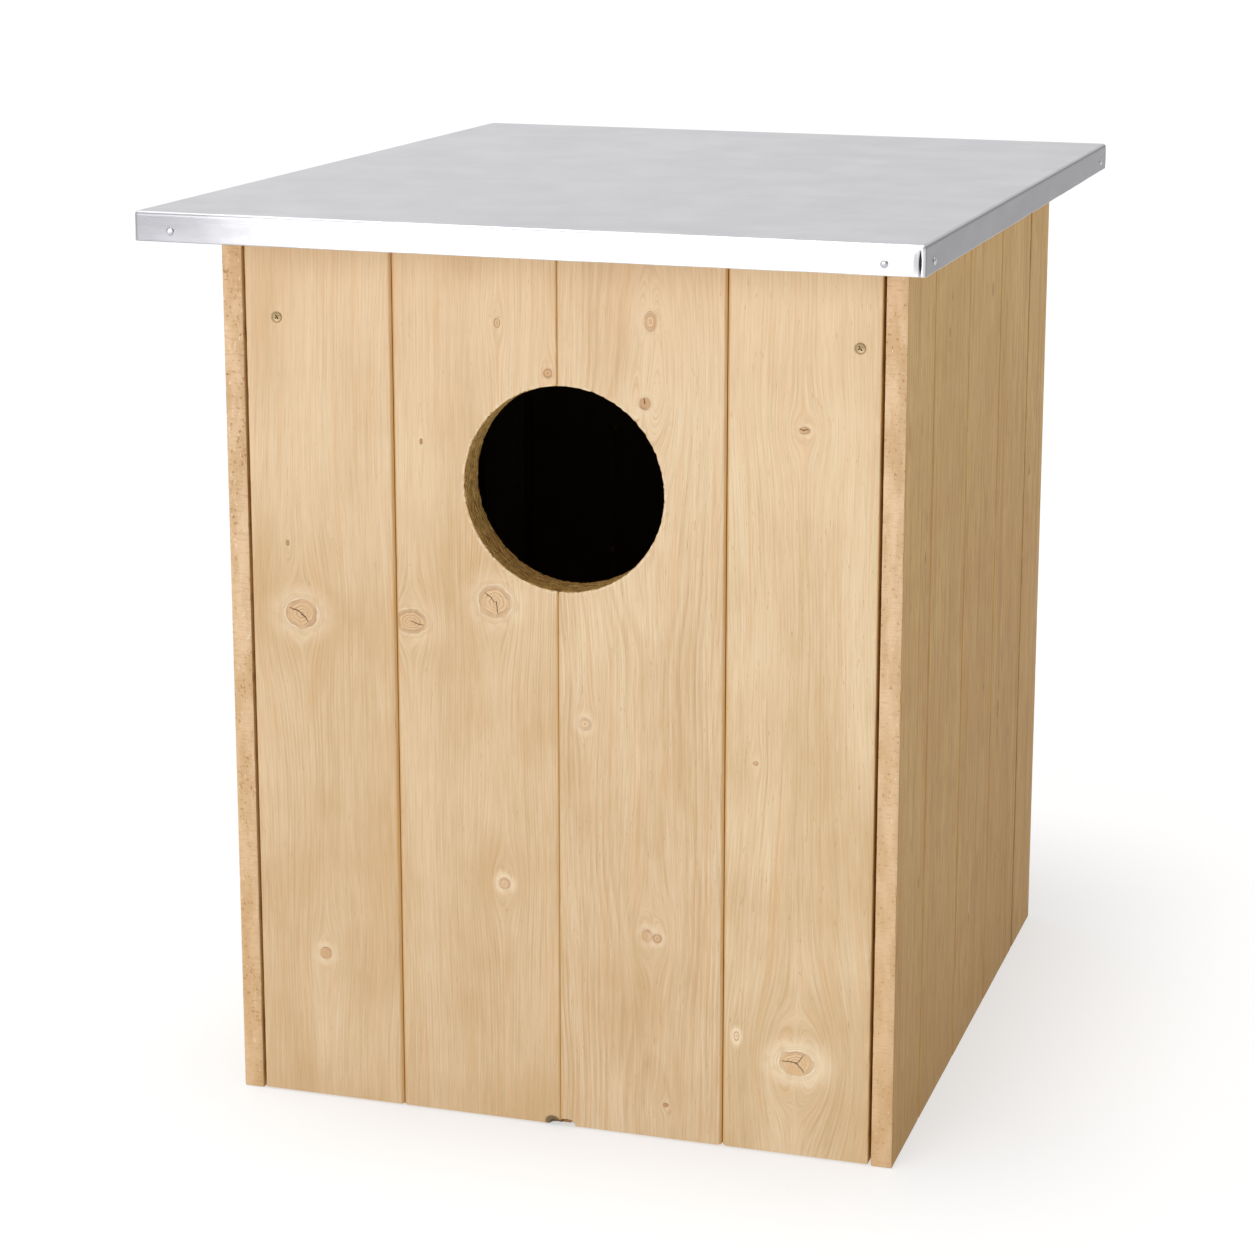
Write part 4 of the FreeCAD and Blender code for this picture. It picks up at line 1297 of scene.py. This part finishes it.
def tray_ring(inset):
    """A level round the sheet, inset from its edge."""
    turn = BEND - inset
    left, right = ACROSS_MARKS[0], ACROSS_MARKS[-1]
    low, high = BACK_MARKS[0], BACK_MARKS[-1]
    points = []
    sides = (
        (right, low, -90, [(right + turn, y) for y in BACK_MARKS[1:-1]]),
        (right, high, 0, [(x, high + turn) for x in reversed(ACROSS_MARKS[1:-1])]),
        (left, high, 90, [(left - turn, y) for y in reversed(BACK_MARKS[1:-1])]),
        (left, low, 180, [(x, low - turn) for x in ACROSS_MARKS[1:-1]]),
    )
    for x, y, start, straight in sides:
        for step in range(BEND_STEPS + 1):
            angle = math.radians(start + 90 * step / BEND_STEPS)
            points.append((x + turn * math.cos(angle), y + turn * math.sin(angle)))
        points += straight
    return points


def slit_place(x, y):
    """How far a point of the front or back fold lies from the bend at its right-hand corner, or
    -1 elsewhere."""
    if BACK_MARKS[0] <= y <= BACK_MARKS[-1]:
        return -1.0
    return ACROSS_MARKS[-1] - x


def in_slit(first, second):
    """Whether the strip between two neighbouring points of a level is slit open."""
    middle = (slit_place(*first) + slit_place(*second)) / 2
    return SLIT_NEAR < middle < SLIT_FAR


def nail_places():
    """Where the sheet's nails go: (across, back, outward direction) in the roof's frame."""
    near = SHEET_HALF - SHEET_NAIL_INSET
    places = []
    for side in (-1, 1):
        places.append((side * near, SHEET_LOW, Vector((0, -1, 0))))
        places.append((side * near, SHEET_HIGH, Vector((0, 1, 0))))
        for back in (SHEET_LOW + SHEET_NAIL_INSET, SHEET_HIGH - SHEET_NAIL_INSET):
            places.append((side * SHEET_HALF, back, Vector((side, 0, 0))))
    return places


def dent(x, y, z):
    """How far the folded edge is pressed in round its nails."""
    depth = 0.0
    for across, back, direction in nail_places():
        offset = Vector((x - across, y - back, 0))
        sideways = (offset - direction * offset.dot(direction)).length
        if abs(offset.dot(direction)) < 4:
            away = math.hypot(sideways, z - SHEET_NAIL_HEIGHT)
            depth += 0.30 * math.exp(-((away / 5.5) ** 2))
    return depth


def hump(place, middle, width):
    """A smooth bump of height 1 at a middle."""
    return math.exp(-(((place - middle) / width) ** 2))


def freedom(z, top):
    """How far down the folded edge a point is: 0 at the bend, 1 near the free edge."""
    return max(0.0, (top - BEND - z) / 16)


def flange_shift(x, y, z, top):
    """How far a point of the folded edge has moved: the fold is wavy, pressed in by its nails,
    and curls out and back in where it was slit at the corners."""
    free = freedom(z, top)
    across_end = SHEET_HALF - abs(x)
    back_end = min(y - SHEET_LOW, SHEET_HIGH - y)
    swell = noise.noise(Vector((x * 0.012, y * 0.012, z * 0.05))) * 0.25 * free
    belly = math.sin(math.pi * min(1.0, free)) if free > 0 else 0.0
    shift = Vector((0, 0, noise.noise(Vector((x * 0.03, y * 0.03, 3))) * 0.22 * free))
    if back_end < BEND:
        direction = Vector((0, -1 if y < 0 else 1, 0))
        curl = (0.90 * hump(across_end, 7.8, 2.0) - 0.70 * hump(across_end, 4.1, 1.6)) * belly
        curl = curl if x > 0 else 0.0
        shift += direction * (swell + curl - dent(x, y, z))
    if across_end < BEND:
        direction = Vector((math.copysign(1, x), 0, 0))
        curl = 0.25 * hump(back_end, 3.5, 1.6) * belly
        shift += direction * (swell + curl - dent(x, y, z))
    return shift


def slit_shift(x, y, z, top):
    """Draws the edges of a corner slit together at its top and bottom, so that it gapes in the
    middle."""
    closed = 1 - math.sin(math.pi * min(1.0, freedom(z, top)))
    place = slit_place(x, y)
    half = (SLIT_FAR - SLIT_NEAR) / 2
    if abs(place - SLIT_NEAR) < 0.01:
        return Vector((-half * closed, 0, 0))
    if abs(place - SLIT_FAR) < 0.01:
        return Vector((half * closed, 0, 0))
    return Vector((0, 0, 0))


def sheet_levels(top):
    """The levels of points down the sheet's edge, as (inset, height): the bend, then the fold."""
    bottom = top - FLANGE
    levels = []
    for step in range(BEND_STEPS):
        angle = math.radians(90 * step / (BEND_STEPS - 1))
        levels.append((BEND * (1 - math.sin(angle)), top - BEND * (1 - math.cos(angle))))
    for z in (top - 3.2, top - 4.2, 13.0, 11.0, 9.0, 6.5, 4.5, 3.0, 1.5, bottom + 0.6, bottom):
        levels.append((0.0, z))
    return levels


def add_folds(made, top):
    """The sheet's rolled bends and folded edges, slit at the corners."""
    rings = []
    for inset, z in sheet_levels(top):
        ring = []
        for x, y in tray_ring(inset):
            shift = Vector((0, 0, 0))
            if z < top - BEND:
                shift = flange_shift(x, y, z, top) + slit_shift(x, y, z, top)
            point = roof_point(x + shift.x, y + shift.y, z + shift.z)
            ring.append(made.verts.new(point * MM))
        rings.append(ring)
    outer = tray_ring(0.0)
    count = len(outer)
    for level, (upper, lower) in enumerate(zip(rings, rings[1:])):
        for index in range(count):
            after = (index + 1) % count
            if level >= BEND_STEPS and in_slit(outer[index], outer[after]):
                continue
            made.faces.new((upper[index], upper[after], lower[after], lower[index]))


def add_top_grid(made, top):
    """The flat of the sheet, a little uneven, meeting the bends all round."""
    grid = []
    for back in BACK_MARKS:
        line = []
        for across in ACROSS_MARKS:
            edge = min(
                across - ACROSS_MARKS[0],
                ACROSS_MARKS[-1] - across,
                back - BACK_MARKS[0],
                BACK_MARKS[-1] - back,
            )
            rise = noise.noise(Vector((across * 0.008, back * 0.008, 7))) * 0.35
            rise *= min(1.0, edge / 50)
            line.append(made.verts.new(roof_point(across, back, top + rise) * MM))
        grid.append(line)
    for lower, upper in zip(grid, grid[1:]):
        for index in range(len(ACROSS_MARKS) - 1):
            made.faces.new((lower[index], lower[index + 1], upper[index + 1], upper[index]))


def make_roof_sheet():
    """The folded sheet."""
    top = ROOF_BOARD + SHEET
    made = bmesh.new()
    add_folds(made, top)
    add_top_grid(made, top)
    bmesh.ops.remove_doubles(made, verts=made.verts, dist=0.02 * MM)
    piece = link("roof_sheet_metal", to_mesh(made, "roof_sheet_metal"), Matrix.Identity(4))
    solid = piece.modifiers.new("thickness", "SOLIDIFY")
    solid.thickness = SHEET * MM
    solid.offset = -1
    solid.use_even_offset = True
    # 0.90: the side folds are painted dark grey as shade.
    dull = metal("roof_metal", ROOF_METAL, 0.42, 0.06, 0.90)
    finish_piece(piece, dull, "box", "roof_sheet")


# ---------------------------------------------------------------- nails and screws

# A sheet nail's (radius, height) profile, from its point to the top of its round head.
NAIL_PROFILE = (
    (0.1, -17),
    (0.9, -15),
    (0.9, -0.2),
    (2.55, -0.1),
    (2.6, 0.25),
    (2.3, 0.8),
    (1.5, 1.15),
    (0.7, 1.27),
    (0.15, 1.3),
)

# A screw head's (radius, height) profile, from its top to the neck.
HEAD_PROFILE = (
    (0.6, -0.15),
    (2.4, -0.15),
    (2.9, 0.0),
    (3.3, -0.2),
    (3.4, -0.5),
    (2.05, -2.1),
    (1.6, -3.0),
)


def add_nail(made, copy, matrix):
    """Adds one sheet nail, a little lumpy."""
    rows = []
    for radius, height in NAIL_PROFILE:
        row = []
        for cos, sin in circle(28):
            point = Vector((radius * cos, radius * sin, height))
            point *= 1 + noise.noise(point * 0.9 + Vector((copy * 5.0, 0, 0))) * 0.05
            row.append(matrix @ (point * MM))
        rows.append(row)
    add_solid(made, rows)


def make_sheet_nails():
    """Round-headed nails in the folded edges, each knocked in a little differently."""
    rng = random.Random(7)
    made = bmesh.new()
    for copy, (across, back, direction) in enumerate(nail_places()):
        head = direction.x * Vector((1, 0, 0)) + direction.y * ROOF_BACKWARD
        lean = Vector([rng.uniform(-0.05, 0.05) for _ in range(3)])
        turn = (head + lean).to_track_quat("Z", "Y").to_matrix().to_4x4()
        place = roof_point(across, back, SHEET_NAIL_HEIGHT) - head * 0.25
        add_nail(made, copy, Matrix.Translation(place * MM) @ turn)
    mesh = to_mesh(made, "roof_sheet_nails_round")
    piece = link("roof_sheet_nails_round", mesh, Matrix.Identity(4))
    zinc = metal("nail_zinc", (0.62, 0.63, 0.66), 0.34, 0.2)
    finish_piece(piece, zinc, "box", "roof_sheet_nails")


def thread_radius(height, share, length, pitch):
    """A wood screw's radius at a height, share being how far round it the point is. The thread
    runs out towards the tip."""
    turn = (-height / pitch - share) % 1.0
    crest = max(0.0, 1 - abs(turn - 0.5) * 4)
    taper = min(1.0, (length + height) / 6)
    return (1.35 + 0.6 * crest) * max(0.08, taper)


def screw_mesh(name):
    """A countersunk wood screw along -Z with a real thread; the top of its head is at Z = 0."""
    around = 36
    length = 31.5
    pitch = 1.8
    rows = []
    for radius, height in HEAD_PROFILE:
        row = [Vector((radius * cos, radius * sin, height)) * MM for cos, sin in circle(around)]
        rows.append(row)
    height = -4.0
    while height > -length:
        row = []
        for index, (cos, sin) in enumerate(circle(around)):
            radius = thread_radius(height, index / around, length, pitch)
            row.append(Vector((radius * cos, radius * sin, height)) * MM)
        rows.append(row)
        height -= pitch / 8
    return solid_mesh(name, rows)


def bar_cutter(matrix, turn):
    """One tapered bar of the screwdriver's cross-shaped recess."""
    spin = Matrix.Rotation(turn, 3, "Z")
    rows = []
    for long, short, height in ((0.9, 0.35, -1.9), (2.1, 0.5, 0.6)):
        rows.append([spin @ Vector((x * long, y * short, height)) * MM for x, y in SQUARE])
    return link("cutter", solid_mesh("cutter", rows), matrix)


def make_screws():
    """The two screws that hold the front panel, sunk a little below its face."""
    yellow = metal("yellow_zinc", (0.50, 0.37, 0.20), 0.50, 0.35)
    for side in ("left", "right"):
        node = f"front_screw_{side}"
        low, high = box_mm(node)
        head = Vector(((low.x + high.x) / 2, low.y, (low.z + high.z) / 2))
        matrix = axes(head, (1, 0, 0), (0, 0, 1), (0, -1, 0))
        piece = link(node + "_threaded", screw_mesh(node + "_threaded"), matrix)
        for turn in (0.6, 0.6 + math.pi / 2):
            cut_away(piece, bar_cutter(matrix, turn))
        finish_piece(piece, yellow, node, node)


def make_hidden_fasteners():
    """Nails, deck screws and dowels inside the box keep their CAD shapes."""
    steel = metal("bright_steel", (0.50, 0.50, 0.52), 0.4, 0.3)
    nails = ("left_wall", "right_wall", "back_wall", "post", "floor", "front_cleat")
    for name in nails:
        dress(f"{name}_nails", steel, 0.0)
    for side in ("front", "back"):
        dress(f"{side}_deck_screws", steel, 0.0)
    dress("locating_dowels", rough_pine("beech", 1, 9.0, 0.0), 0.3)


# ---------------------------------------------------------------- everything

make_studio()
make_front()
make_hole_plate()
make_sides()
make_back()
make_floor_boards()
make_deck()
make_battens()
make_roof_sheet()
make_sheet_nails()
make_screws()
make_hidden_fasteners()
